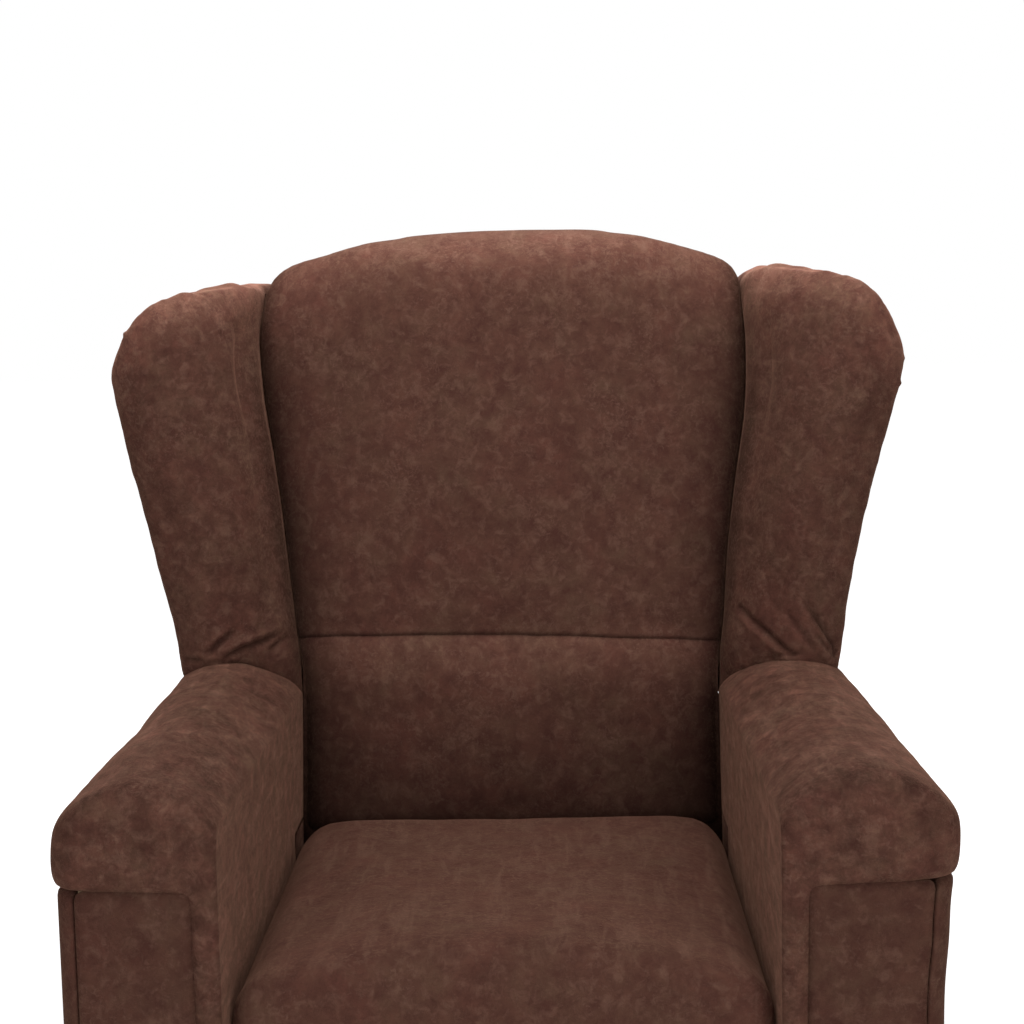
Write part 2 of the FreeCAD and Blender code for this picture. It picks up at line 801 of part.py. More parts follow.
def seat_cushion():
    """The seat cushion: crowned across, sloping to the rear, with a round nose that hangs over the rail."""
    half = inner_x - 2 * cloth_gap
    nose_y = front_y + seat_cushion_front
    rear_y_edge = hinge_y - seat_rear_gap
    rail_y = seat_frame_front_y
    top = cushion_bottom + seat_cushion_height
    lip_z = seat_rail_top - seat_lip
    side = rounded(prism_x, -half - overrun, half + overrun, [
        ((nose_y, lip_z), seat_nose_radius / 2),
        ((nose_y, top + seat_crown), seat_roll_radius),
        ((rear_y_edge, top + seat_crown - seat_slope), seat_nose_radius),
        ((rear_y_edge, cushion_bottom), 0),
        ((rail_y - cloth_gap, cushion_bottom), 0),
        ((rail_y - cloth_gap, lip_z), 0),
    ])
    across = prism_y(nose_y - overrun, rear_y_edge + overrun,
                     (-half + cushion_edge, lip_z), (-half, cushion_bottom),
                     ((-half - pin_clearance, (cushion_bottom + top) / 2 - seat_crown),
                      (-half + cushion_edge, top - seat_crown - seat_slope)),
                     ((-half + seat_crown, top - seat_slope),
                      (-half + 3 * seat_crown, top - seat_crown / 2)),
                     ((0, top + seat_crown), (half - 3 * seat_crown, top - seat_crown / 2)),
                     ((half - seat_crown, top - seat_slope),
                      (half - cushion_edge, top - seat_crown - seat_slope)),
                     ((half + pin_clearance, (cushion_bottom + top) / 2 - seat_crown),
                      (half, cushion_bottom)),
                     (half - cushion_edge, lip_z))
    plan = prism_z(lip_z - overrun, top + 2 * seat_crown,
                   (-half + seat_nose_radius, nose_y + seat_crown / 2),
                   ((0, nose_y - pin_clearance), (half - seat_nose_radius, nose_y + seat_crown / 2)),
                   ((half - cushion_edge, nose_y + seat_crown), (half, nose_y + 2 * seat_nose_radius)),
                   (half, rear_y_edge - seat_nose_radius),
                   (half - seat_nose_radius, rear_y_edge),
                   (-half + seat_nose_radius, rear_y_edge),
                   (-half, rear_y_edge - seat_nose_radius),
                   (-half, nose_y + 2 * seat_nose_radius),
                   ((-half + cushion_edge, nose_y + seat_crown),
                    (-half + seat_nose_radius, nose_y + seat_crown / 2)))
    return side.common(across).common(plan)


def crease_line(height):
    """Half the width of the back at a height beside the wings, as one straight line."""
    share = (height - wing_foot_height) / (crease_top_height - wing_foot_height)
    return crease_foot_x + share * (crease_top_x - crease_foot_x)


def crease_x(height):
    """Half the width of the back at a height. It is upright between the arms and spreads above them."""
    return max(crease_foot_x, crease_line(height))


def crowned(low, high, rear, crown_depth):
    """A cushion form up the back: flat behind, crowned across, as wide as the back is at its top corners."""
    half = top_corner_x()
    edge = cushion_crease_depth - back_corner_radius / 2
    return prism_z(low, high, (-half, rear), (half, rear), (half, -edge),
                   ((0, -crown_depth), (-half, -edge)))


def upper_cushion():
    """The upper back cushion, under its arched top. It wraps over the frame to the rear cover."""
    low = back_seam_height + cloth_gap / 2
    middle = (low + crease_top_height) / 2
    seam_depth = cushion_crown_depth - cushion_edge
    form = crowned(low, back_top_height + overrun, back_rear_depth, cushion_crown_depth)
    side = prism_x(-overall_width, overall_width,
                   (back_rear_depth, low),
                   (-seam_depth, low),
                   ((-cushion_crown_depth - pin_clearance, middle), (-seam_depth, crease_top_height)),
                   (-seam_depth, back_top_height + overrun),
                   (back_rear_depth, back_top_height + overrun))
    top = rounded(prism_x, -overall_width, overall_width, [
        ((back_rear_depth, low), 0),
        ((back_rear_depth, back_top_height), back_top_rear_radius),
        ((-back_top_depth, back_top_height), back_top_front_radius),
        ((-back_top_depth, crease_top_height), 0),
        ((-cushion_crown_depth - overrun, low), 0),
    ])
    arch = arch_prism(-overall_depth / 2, overall_depth / 2, low, 0)
    frame_room = block((-overall_width, overall_width),
                       (-webbing_thickness - cloth_gap, back_rear_depth + overrun),
                       (low - overrun, top_rail_top + cloth_gap))
    return form.common(side).common(top).common(arch).cut(frame_room)


def top_corner_x():
    """Where the arched top would meet the side of the back, if the corner weren't round."""
    return crease_x(crease_top_height + back_corner_radius / 2)


def arch_outline(low, inset):
    """Front outline of the back: sides that spread upwards under an arched top."""
    x = top_corner_x() - inset
    radius = back_arch_radius - inset
    centre = back_top_height - back_arch_radius
    z = centre + math.sqrt(radius ** 2 - x ** 2)
    foot = crease_x(low) - inset
    knee = max(low, wing_foot_height)
    return [
        (-foot, low),
        (foot, low),
        (crease_x(knee) - inset, knee),
        (x, z),
        ((0, centre + radius), (-x, z)),
        (-crease_x(knee) + inset, knee),
    ]


def arch_prism(near, far, low, inset):
    """The back's front outline from one depth to another, with its upper corners round."""
    form = prism_y(near, far, *arch_outline(low, inset))
    corners = edges_where(form, lambda c: c.z > crease_top_height and near < c.y < far
                          and abs(c.x) > top_corner_x() - back_corner_radius)
    return form.makeFillet(back_corner_radius, corners)


def lumbar_cushion():
    """The lower back cushion, fullest a little below the seam."""
    low = back_cushion_start
    high = back_seam_height - cloth_gap / 2
    full_height = low + (high - low) * lumbar_full_share
    rear = -webbing_thickness - cloth_gap
    form = crowned(low, high, rear, lumbar_crown_depth)
    side = prism_x(-overall_width, overall_width,
                   (rear, low),
                   (-cushion_crown_depth + lumbar_tuck, low),
                   ((-lumbar_crown_depth, full_height), (-cushion_crown_depth + cushion_edge, high)),
                   (rear, high))
    front = prism_y(-overall_depth, overall_depth,
                    (-crease_foot_x, low), (crease_foot_x, low), (crease_foot_x, wing_foot_height),
                    (crease_x(high), high), (-crease_x(high), high), (-crease_foot_x, wing_foot_height))
    return form.common(side).common(front)


def rear_cover():
    """The panel that closes the back of the frame."""
    form = arch_prism(back_frame_depth, back_rear_depth, 0, cushion_edge)
    return form.common(block((-overall_width, overall_width), (0, overall_depth), (0, top_rail_top)))


def back_post():
    """The left post of the back frame, upright below the wing and leaning out beside it."""
    outer = bracket_x
    lean_out = crease_x(post_top_height) - crease_foot_x
    post = prism_y(0, back_frame_depth,
                   (outer - post_width, 0), (outer, 0), (outer, wing_foot_height),
                   (outer + lean_out, post_top_height),
                   (outer + lean_out - post_width, post_top_height),
                   (outer - post_width, wing_foot_height))
    for y, z in bracket_bolt_places():
        post = post.cut(bolt_room(Vector(outer - post_width, y, z), ACROSS, post_width + overrun))
    return post


def post_inner_x(height):
    """Where the inner face of the left post is at a height."""
    share = max(0, (height - wing_foot_height) / (post_top_height - wing_foot_height))
    return bracket_x - post_width + share * (crease_x(post_top_height) - crease_foot_x)


def cross_rail(low, height):
    """A rail between the posts."""
    low_x = post_inner_x(low)
    high_x = post_inner_x(low + height)
    knee = wing_foot_height
    outline = [(-low_x, low), (low_x, low), (high_x, low + height), (-high_x, low + height)]
    if low < knee < low + height:
        knee_x = post_inner_x(knee)
        outline = [(-low_x, low), (low_x, low), (knee_x, knee), (high_x, low + height),
                   (-high_x, low + height), (-knee_x, knee)]
    return prism_y(rail_setback, rail_setback + rail_thickness, *outline)


def top_rail():
    """The top rail, on the ends of the posts and between them, with an arched upper edge."""
    low = post_top_height
    outer = crease_x(low) - cushion_edge
    rail = prism_y(0, back_frame_depth, *arch_outline(low, back_top_height - low - top_rail_cover))
    return rail.common(block((-outer, outer), (0, back_frame_depth), (low, top_rail_top)))


def webbing():
    """Elastic straps across the back frame, stapled to the fronts of the posts."""
    straps = []
    for i in range(webbing_count):
        low = webbing_low + i * webbing_pitch
        if low + webbing_width > top_rail_low:
            continue
        half = post_inner_x(low) + webbing_grip
        straps.append(block((-half, half), (-webbing_thickness, 0), (low, low + webbing_width)))
    return straps


def wing_nose(height):
    """The two corners of the left wing's nose at a height, inner one first, as (x, depth)."""
    share = (height - wing_foot_height) / (wing_widest_height - wing_foot_height)
    outer = wing_foot_outer + share * (wing_outer_half - wing_foot_outer)
    depth = wing_depth_foot + share * (wing_depth_widest - wing_depth_foot)
    return (outer - wing_nose_width, depth + cushion_edge), (outer, depth - wing_nose_drop)


def wing_form():
    """The left wing on the upright back, not yet cut level: one outline carried up, out and ahead."""
    low = wing_foot_height - wing_corner_radius
    high = crease_top_height + wing_corner_radius
    nose, cheek = wing_nose(low)
    high_cheek = wing_nose(high)[1]
    rear = wing_rear_depth + high_cheek[1] - cheek[1]
    start = Vector(cheek[0], -cheek[1], low)
    course = Vector(high_cheek[0], -high_cheek[1], high) - start
    along = Vector(course).normalize()
    u = (ACROSS - along * along.x).normalize()
    w = along.cross(u)

    def square(x, depth):
        offset = Vector(x, -depth, low) - start
        return offset.dot(u), offset.dot(w)

    def sweep(near, far, first, *steps):
        face = Part.Face(wire(lambda p: start + u * p[0] + w * p[1] + course * near, first, *steps))
        return face.extrude(course * (far - near))

    form = rounded(sweep, -wing_course_share, 1 + wing_course_share, [
        (square(0, nose[1] - nose[0] * wing_face_slope), 0),
        (square(*nose), wing_nose_radius),
        (square(*cheek), wing_nose_radius),
        (square(cheek[0] - (cheek[1] + rear) * wing_side_slope, -rear), 0),
    ])
    beside_back = prism_y(-overall_depth, wing_rear_depth,
                          (crease_foot_x + wing_clear, low), (overall_width, low), (overall_width, high),
                          (crease_line(high) + wing_clear, high),
                          (crease_foot_x + wing_clear, wing_foot_height))
    return form.common(beside_back)


def wing_top(inset):
    """Front outline that cuts the leant wing: nearly level on top, with a round outer corner."""
    outer = overall_width / 2 - inset
    top = wing_top_z - inset
    knee_z = back_foot_z + wing_widest_height * cos_lean
    return rounded(prism_y, front_y, overall_depth, [
        ((0, skirt_bottom), 0),
        ((outer, skirt_bottom), 0),
        ((outer, knee_z), wing_corner_radius),
        ((outer - wing_top_fall, top - wing_top_fall), wing_corner_radius),
        ((crease_top_x, top + wing_top_fall), wing_corner_radius),
        ((0, top + wing_top_fall), 0),
    ])


def wing_cutter():
    """What the left arm keeps clear of the wing, in the chair's own frame."""
    over_arm = prism_y(front_y - overrun, rear_y + overrun,
                       *arm_section(skirt_bottom, wing_clear))
    beside_arm = block((0, inner_x + arm_width / 2), (front_y, rear_y),
                       (0, arm_top - arm_crown_rise + wing_clear))
    return over_arm.fuse(beside_arm)


def wing_board(grow=0):
    """The flat plywood board inside the left wing, from the post's side out towards the nose."""
    low = wing_foot_height + wing_nose_width
    high = post_top_height - wing_nose_drop
    foot = Vector(post_outer_x(low) + pin_clearance, wing_board_rear, low)
    top = Vector(post_outer_x(high) + pin_clearance, wing_board_rear, high)
    nose_x, nose_depth = wing_nose(low)[0]
    nose = Vector(nose_x, wing_board_margin - nose_depth, low)
    reach = (wing_nose(high)[0][0] - top.x) / (nose.x - foot.x)
    up = (top - foot).normalize()
    across = nose - foot
    out = Vector(across).normalize()
    normal = up.cross(out).normalize()
    slice_depth = (wing_board_thickness + 2 * grow) / abs(normal.y)
    corners = [foot - up * grow, foot + across + (out - up) * grow,
               top + across * reach + (out + up) * grow, top + up * grow]
    board = Part.Face(Part.makePolygon(corners + corners[:1])).extrude(Vector(0, slice_depth, 0))
    board.translate(Vector(0, -slice_depth / 2, 0))
    return board


def post_outer_x(height):
    """Where the outer face of the left post is at a height."""
    return post_inner_x(height) + post_width


def back_bracket():
    """The steel plate on the outside of the left post, with the ear of the back pivot."""
    pivot_depth, pivot_height = local_place(hinge_y, hinge_z)
    stud_depth, stud_height = local_place(stud_y, stud_z)
    low, high = bracket_x, bracket_x + plate_thickness
    strap_y = back_frame_depth - bracket_strap_half
    ear = stadium_x((-pivot_depth, pivot_height), (strap_y, pivot_height), bracket_ear_radius, low, high)
    strap = stadium_x((-stud_depth, stud_height), (strap_y, bracket_top - bolt_margin),
                      bracket_strap_half, low, high)
    web = prism_x(low, high, (-pivot_depth, pivot_height - bracket_web_half),
                  (-pivot_depth, pivot_height + bracket_web_half), (0, pivot_height + bracket_ear_radius),
                  (strap_y, pivot_height + 2 * bolt_margin), (strap_y, pivot_height - 2 * bolt_margin))
    plate = ear.fuse(strap).fuse(web).removeSplitter()
    plate = plate.cut(rod_x((-pivot_depth, pivot_height), hinge_radius + pin_clearance,
                            low - overrun, high + overrun))
    for y, z in bracket_bolt_places():
        plate = plate.cut(bolt_room(Vector(low, y, z), ACROSS, plate_thickness + overrun))
    stud = rod_x((-stud_depth, stud_height), lever_stud_radius, high,
                 seat_plate_x + plate_thickness + rivet_head)
    return plate.fuse(stud)


def local_place(y, z):
    """The depth in front of the back frame and the height up it of a place in the chair's side view."""
    dy, dz = y - back_foot_y, z - back_foot_z
    return -dy * cos_lean + dz * sin_lean, dy * sin_lean + dz * cos_lean


def bracket_bolt_places():
    """Where bolts hold the left bracket to its post, as (y, z) on the upright back."""
    first = 2 * bolt_margin
    pitch = (bracket_top - 3 * bolt_margin) / bracket_bolt_count
    return [(bracket_bolt_depth, first + pitch * i) for i in range(bracket_bolt_count)]


def bracket_bolt(y, z):
    """A bolt from inside the left post, through it and the bracket, flush outside."""
    return bolt(Vector(bracket_x - post_width, y, z), ACROSS, post_width + plate_thickness)


def scissor_points(angle):
    """The scissor's pivots at an angle, as (y, z): A from P to QA, B from R to QB, C from QB to E."""
    run = link_length * math.cos(math.radians(angle))
    drop = link_length * math.sin(math.radians(angle))
    at = lambda u, z: (pivot_y - u, pivot_z + z)
    return {
        "hub": at(0, 0), "foot": at(run, -drop), "roller": at(0, -drop), "top": at(run, 0),
        "cross": at(run / 2, -drop / 2), "outer_cross": at(run * 1.5, -drop / 2), "end": at(2 * run, -drop),
    }


def link_bar(start, end, layer, holes=()):
    """A flat link with round ends, with a running hole at each place given."""
    bar = stadium_x(start, end, link_half_width, layer, layer + link_thickness)
    for hole in holes:
        bar = bar.cut(disc_room_x(hole, rivet_radius + pin_clearance, layer - overrun,
                                  layer + link_thickness + overrun))
    return bar


def rivet(place, from_x, headed_x):
    """A rivet from a link's inner face through the layer whose face is given, with its head beyond."""
    seat = headed_x - slot_clearance
    shank = disc_x(place, rivet_radius, seat, from_x)
    return shank.fuse(disc_x(place, rivet_head_radius, seat - rivet_head, seat))


def drive_link(points):
    """The left link A, riveted to links B and D, with the hole that the torque tube is welded into."""
    bar = link_bar(points["hub"], points["foot"], layer_one_x)
    bar = bar.fuse(rod_x(points["hub"], hub_radius, layer_one_x, layer_one_x + link_thickness))
    bar = bar.cut(rod_x(points["hub"], link_tube_radius + pin_clearance, layer_one_x - overrun,
                        layer_one_x + link_thickness + overrun))
    for name in ("cross", "foot"):
        bar = bar.fuse(rivet(points[name], layer_one_x, layer_two_x))
    return bar


def torque_tube(points):
    """The tube through both seat plates that turns the two links together."""
    half = seat_plate_x + plate_thickness + cloth_gap
    tube = rod_x(points["hub"], link_tube_radius, -half, half)
    return tube.cut(disc_x(points["hub"], link_tube_bore, -half - overrun, half + overrun))


def cross_link(points):
    """The left link B: a roller at its foot, and a rivet at its top for the footrest."""
    bar = link_bar(points["roller"], points["top"], layer_two_x, (points["cross"],))
    outer = seat_plate_x + plate_thickness + slot_clearance
    bar = bar.fuse(disc_x(points["roller"], rivet_radius, layer_two_x + link_thickness, seat_plate_x))
    bar = bar.fuse(rod_x(points["roller"], roller_radius, seat_plate_x - slot_clearance, outer))
    bar = bar.fuse(disc_x(points["roller"], roller_radius + rivet_head, outer, outer + rivet_head))
    return bar.fuse(rivet(points["top"], layer_two_x, layer_three_x))


def outer_link(points):
    """The left link D, from the foot of A to the middle of the carrier."""
    bar = link_bar(points["foot"], points["outer_cross"], layer_two_x, (points["foot"],))
    return bar.fuse(rivet(points["outer_cross"], layer_two_x, layer_three_x))


def footrest_carrier(points):
    """The left link C, widened into an angle whose flange carries the footrest board."""
    low, high = layer_three_x, layer_three_x + link_thickness
    board_y = footrest_board_y
    top, end = points["top"], points["end"]
    bar = stadium_x(top, end, link_half_width, low, high)
    flange_top = top[1] - link_half_width
    flange_low = end[1] + link_half_width
    web = prism_x(low, high, (top[0], flange_top), (end[0], flange_low), (board_y, flange_low),
                  (board_y, flange_top))
    flange = block((high - footrest_flange_width, high), (board_y, board_y + plate_thickness),
                   (flange_low, flange_top))
    carrier = bar.fuse(web).fuse(flange).removeSplitter()
    for name in ("top", "outer_cross"):
        carrier = carrier.cut(disc_room_x(points[name], rivet_radius + pin_clearance,
                                          low - overrun, high + overrun))
    for x, z in footrest_screw_places():
        carrier = carrier.cut(bolt_room(Vector(x, board_y, z), BACK, plate_thickness + overrun))
    return carrier


def footrest_screw_places():
    """Where screws hold the board to the left carrier's flange, as (x, z)."""
    x = layer_three_x - footrest_flange_width / 3
    middle = pivot_z - fold_drop / 2
    return [(x, middle + side * fold_drop / 4) for side in (1, -1)]


def footrest_screw(x, z):
    """A screw from behind the flange into the board."""
    back = footrest_board_y + plate_thickness
    return bolt(Vector(x, back, z), BACK * -1, plate_thickness + footrest_board_thickness * screw_bite_share)


def footrest_board():
    """The board behind the footrest pad."""
    top = pivot_z + footrest_rise - footrest_wrap
    low = top + 2 * footrest_wrap - footrest_height
    board = block((-footrest_half + footrest_wrap, footrest_half - footrest_wrap),
                  (footrest_board_y - footrest_board_thickness, footrest_board_y), (low, top))
    for side in (1, -1):
        for x, z in footrest_screw_places():
            board = board.cut(bolt_room(Vector(side * x, footrest_board_y, z), BACK * -1,
                                        footrest_board_thickness * screw_bite_share + pin_clearance))
    return board


def footrest_pad():
    """The padded front of the footrest. It wraps round the edges of its board."""
    top = pivot_z + footrest_rise
    low = top - footrest_height
    back = footrest_board_y
    face = back - footrest_board_thickness - footrest_pad_thickness
    side = rounded(prism_x, -footrest_half - overrun, footrest_half + overrun, [
        ((back, low), 0),
        ((face, low), footrest_corner),
        ((face, top), footrest_corner),
        ((back, top), 0),
    ])
    half = footrest_half
    plan = prism_z(low - overrun, top + overrun,
                   (-half + cushion_edge, back), (half - cushion_edge, back),
                   (half, back - footrest_board_thickness),
                   (half, face + footrest_corner + footrest_crown),
                   ((half - footrest_corner / 3, face + footrest_corner / 3 + footrest_crown),
                    (half - footrest_corner, face + footrest_crown)),
                   ((0, face), (-half + footrest_corner, face + footrest_crown)),
                   ((-half + footrest_corner / 3, face + footrest_corner / 3 + footrest_crown),
                    (-half, face + footrest_corner + footrest_crown)),
                   (-half, back - footrest_board_thickness))
    inner = footrest_half - footrest_wrap + cloth_gap
    pocket = block((-inner, inner), (back - footrest_board_thickness - cloth_gap, back + overrun),
                   (low + footrest_wrap - cloth_gap, top - footrest_wrap + cloth_gap))
    return side.common(plan).cut(pocket)


def main():
    """Builds each piece where it stands, with the footrest folded and the back up, and saves it."""
    pad, outer_cover, front_cover = arm_pieces()
    save_pair("arm_pad", pad)
    save_pair("arm_outer_cover", outer_cover)
    save_pair("arm_front_cover", front_cover)
    save_pair("arm_side_panel", side_panel())
    save_pair("arm_front_board", end_board(frame_front_y, arm_board_bottom))
    save_pair("arm_rear_board", end_board(frame_rear_y - panel_thickness, arm_tail_board_top))
    save_pair("arm_top_board", arm_board())
    save("stretchers", group(stretcher(frame_front_y + front_stretcher_back),
                             stretcher(frame_rear_y - skin - cloth_gap - stretcher_thickness)))
    save("rear_panel", rear_panel())
    save("foot_blocks", group(*[foot_block(x, y) for x, y in foot_centres()]))
    save("feet", group(*[foot(x, y) for x, y in foot_centres()]))
    save("foot_glides", group(*[glide(x, y) for x, y in foot_centres()]))
    save_pair("base_rail", base_rail())
    bolts = [rail_bolt(y, z) for y, z in rail_bolt_places()]
    save("base_rail_bolts", group(*bolts, *[right_of(bolt) for bolt in bolts]))
    studs = [slide_stud(place) for place in slide_places()]
    save("slide_studs", group(*studs, *[right_of(stud) for stud in studs]))
    save("back_pivot_pins", group(hinge_pin(), right_of(hinge_pin())))

    save_pair("seat_plate", seat_plate())
    save("seat_side_rails", group(seat_side_rail(), right_of(seat_side_rail())))
    front_rail_y = seat_frame_front_y
    rear_rail_y = seat_frame_rear_y - seat_rail_thickness
    save("seat_cross_rails", group(seat_cross_rail(front_rail_y), seat_cross_rail(rear_rail_y)))
    screws = [seat_screw(x, y) for x, y in seat_screw_places()]
    save("seat_frame_screws", group(*screws, *[right_of(screw) for screw in screws]))
    save("seat_springs", group(*[seat_spring(x) for x in spring_offsets()]))
    ends = [front_rail_y + seat_rail_thickness / 2, rear_rail_y + seat_rail_thickness / 2]
    save("spring_clips", group(*[spring_clip(x, y) for x in spring_offsets() for y in ends]))
    save("seat_cushion", seat_cushion())

    save_pair("back_post", lean(back_post()))
    save("back_bottom_rail", lean(cross_rail(0, bottom_rail_height)))
    save("back_lumbar_rail", lean(cross_rail(wing_foot_height, lumbar_rail_height)))
    save("back_top_rail", lean(top_rail()))
    save("back_webbing", lean(group(*webbing())))
    save("back_rear_cover", lean(rear_cover()))
    save("upper_back_cushion", lean(upper_cushion()))
    save("lumbar_cushion", lean(lumbar_cushion()))
    board = lean(wing_board()).common(wing_top(wing_board_thickness))
    board_room = lean(wing_board(cloth_gap)).common(wing_top(wing_board_thickness - cloth_gap))
    wing = lean(wing_form()).common(wing_top(0)).cut(wing_cutter())
    save_pair("wing_pad", wing.cut(board_room))
    save_pair("wing_board", board)
    save_pair("back_bracket", lean(back_bracket()))
    bolts = [lean(bracket_bolt(y, z)) for y, z in bracket_bolt_places()]
    save("back_bracket_bolts", group(*bolts, *[right_of(bolt) for bolt in bolts]))

    points = scissor_points(folded_angle)
    save_pair("drive_link", drive_link(points))
    save("torque_tube", torque_tube(points))
    save_pair("cross_link", cross_link(points))
    save_pair("outer_link", outer_link(points))
    save_pair("footrest_carrier", footrest_carrier(points))
    save("footrest_board", footrest_board())
    save("footrest_pad", footrest_pad())
    screws = [footrest_screw(x, z) for x, z in footrest_screw_places()]
    save("footrest_screws", group(*screws, *[right_of(screw) for screw in screws]))



main()
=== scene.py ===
import math

import bmesh
import bpy
import numpy as np
from mathutils import Matrix, Vector


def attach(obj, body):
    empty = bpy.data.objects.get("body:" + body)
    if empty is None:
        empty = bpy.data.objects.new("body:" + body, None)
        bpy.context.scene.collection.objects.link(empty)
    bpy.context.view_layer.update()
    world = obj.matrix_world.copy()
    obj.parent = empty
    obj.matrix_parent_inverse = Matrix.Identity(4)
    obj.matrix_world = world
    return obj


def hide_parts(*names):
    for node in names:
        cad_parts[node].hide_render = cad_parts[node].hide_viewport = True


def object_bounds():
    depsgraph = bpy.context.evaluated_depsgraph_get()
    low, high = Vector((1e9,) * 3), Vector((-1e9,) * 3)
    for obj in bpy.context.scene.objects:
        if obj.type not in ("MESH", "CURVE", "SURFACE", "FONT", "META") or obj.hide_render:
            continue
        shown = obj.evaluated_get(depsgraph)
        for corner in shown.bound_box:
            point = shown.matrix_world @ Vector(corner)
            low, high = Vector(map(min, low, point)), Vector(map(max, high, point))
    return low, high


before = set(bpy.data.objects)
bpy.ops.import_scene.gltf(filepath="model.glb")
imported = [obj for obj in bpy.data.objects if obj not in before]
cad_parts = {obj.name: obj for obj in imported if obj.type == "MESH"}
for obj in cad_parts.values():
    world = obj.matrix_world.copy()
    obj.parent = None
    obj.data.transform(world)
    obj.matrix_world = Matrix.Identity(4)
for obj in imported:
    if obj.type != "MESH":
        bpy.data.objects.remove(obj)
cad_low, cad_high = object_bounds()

# A winged push-back recliner in mottled brown suede cloth. Lengths are in metres.
# The chair faces -Y. Left and right are the sitter's.
scene = bpy.context.scene

# The camera stands where the photograph was taken. Its picture is a square of this many pixels.
PICTURE = 1024
camera_place = Vector((0.0489, -1.9946, 1.0507))
camera_yaw = 0.0196
camera_pitch = 0.1197
camera_roll = -0.0202
focal_pixels = 1930
sensor_width = 36.0
nearest_seen = 0.05

# The back, drawn upright from its lower edge and then leant.
back_lean = math.radians(12.6)
back_foot = Vector((0, 0.17346, 0.289))
seam_height = 0.348
up_back = Vector((0, math.sin(back_lean), math.cos(back_lean)))
out_of_back = Vector((0, -math.cos(back_lean), math.sin(back_lean)))


def height_on_back(points):
    """How far up the slope of the back points lie."""
    return (points - np.array(back_foot)) @ np.array(up_back)


def depth_on_back(points):
    """How far in front of the posts points lie."""
    return (points - np.array(back_foot)) @ np.array(out_of_back)


def on_back(off, height, depth):
    """The place so far off the middle, up the slope of the back and in front of its posts."""
    place = back_foot + up_back * height + out_of_back * depth
    return (off, place.y, place.z)


# Camera.
def camera_axes():
    """Right, up and forward of the camera, with its roll."""
    forward = Vector((-math.sin(camera_yaw) * math.cos(camera_pitch),
                      math.cos(camera_yaw) * math.cos(camera_pitch), -math.sin(camera_pitch)))
    right = Vector((math.cos(camera_yaw), math.sin(camera_yaw), 0))
    up = right.cross(forward)
    c = math.cos(camera_roll)
    s = math.sin(camera_roll)
    return right * c + up * s, up * c - right * s, forward


def make_camera():
    """The photograph's camera."""
    right, up, forward = camera_axes()
    data = bpy.data.cameras.new("camera")
    data.sensor_width = sensor_width
    data.lens = focal_pixels * sensor_width / PICTURE
    data.clip_start = nearest_seen
    camera = bpy.data.objects.new("camera", data)
    turn = Matrix((right, up, -forward)).transposed().to_4x4()
    camera.matrix_world = Matrix.Translation(camera_place) @ turn
    scene.collection.objects.link(camera)
    scene.camera = camera


# Each lamp's place, its side and its watts. The near and the rear box are placed from the chair's middle on
# the ground, and their second place is what they face. The two in front face the middle of the chair.
NEAR_BOX = ((0, 0.1, 1.95), (0, 0, 0.9), 1.2, 17)
REAR_BOX = ((0, 2.4, 2.3), (0, 0.2, 0.95), 2.6, 60)
LEFT_BOX = ((-1.3, -3.0, 1.5), 2.0, 38)
RIGHT_BOX = ((1.4, -3.0, 1.5), 2.0, 56)
surround_strength = 0.07

# The floor glows a little to the camera, and more the further it is from the chair, so that it ends in white.
floor_size = 40
paper_grey = 0.8
glow_near = 0.42
glow_near_until = 0.8
glow_full_from = 3.0


# Light.
def area_light(name, place, target, size, power):
    """A square soft box that faces a point."""
    data = bpy.data.lights.new(name, "AREA")
    data.shape = "SQUARE"
    data.size = size
    data.energy = power
    lamp = bpy.data.objects.new(name, data)
    lamp.location = place
    lamp.visible_camera = False
    lamp.rotation_euler = (Vector(target) - Vector(place)).to_track_quat("-Z", "Y").to_euler()
    scene.collection.objects.link(lamp)


def make_light():
    """Even studio light: a pale surround, soft boxes above and behind the chair, and two in front of it."""
    middle = (cad_low + cad_high) / 2
    world = bpy.data.worlds.new("surround")
    scene.world = world
    world.use_nodes = True
    nodes = world.node_tree.nodes
    links = world.node_tree.links
    nodes.clear()
    out = nodes.new("ShaderNodeOutputWorld")
    path = nodes.new("ShaderNodeLightPath")
    seen = nodes.new("ShaderNodeMath")
    seen.operation = "MAXIMUM"
    links.new(path.outputs["Is Camera Ray"], seen.inputs[0])
    links.new(path.outputs["Is Glossy Ray"], seen.inputs[1])
    seen_through = nodes.new("ShaderNodeMath")
    seen_through.operation = "MAXIMUM"
    links.new(seen.outputs[0], seen_through.inputs[0])
    links.new(path.outputs["Is Transmission Ray"], seen_through.inputs[1])
    lit = nodes.new("ShaderNodeBackground")
    lit.inputs["Color"].default_value = (1, 1, 1, 1)
    lit.inputs["Strength"].default_value = surround_strength
    white = nodes.new("ShaderNodeBackground")
    white.inputs["Color"].default_value = (1, 1, 1, 1)
    white.inputs["Strength"].default_value = 1.0
    mix = nodes.new("ShaderNodeMixShader")
    links.new(seen_through.outputs[0], mix.inputs[0])
    links.new(lit.outputs[0], mix.inputs[1])
    links.new(white.outputs[0], mix.inputs[2])
    links.new(mix.outputs[0], out.inputs["Surface"])
    ground = Vector((middle.x, middle.y, 0))
    place, target, size, power = NEAR_BOX
    area_light("near_box", ground + Vector(place), ground + Vector(target), size, power)
    for name, (place, size, power) in (("left_box", LEFT_BOX), ("right_box", RIGHT_BOX)):
        area_light(name, place, middle, size, power)
    place, target, size, power = REAR_BOX
    area_light("rear_box", ground + Vector(place), ground + Vector(target), size, power)


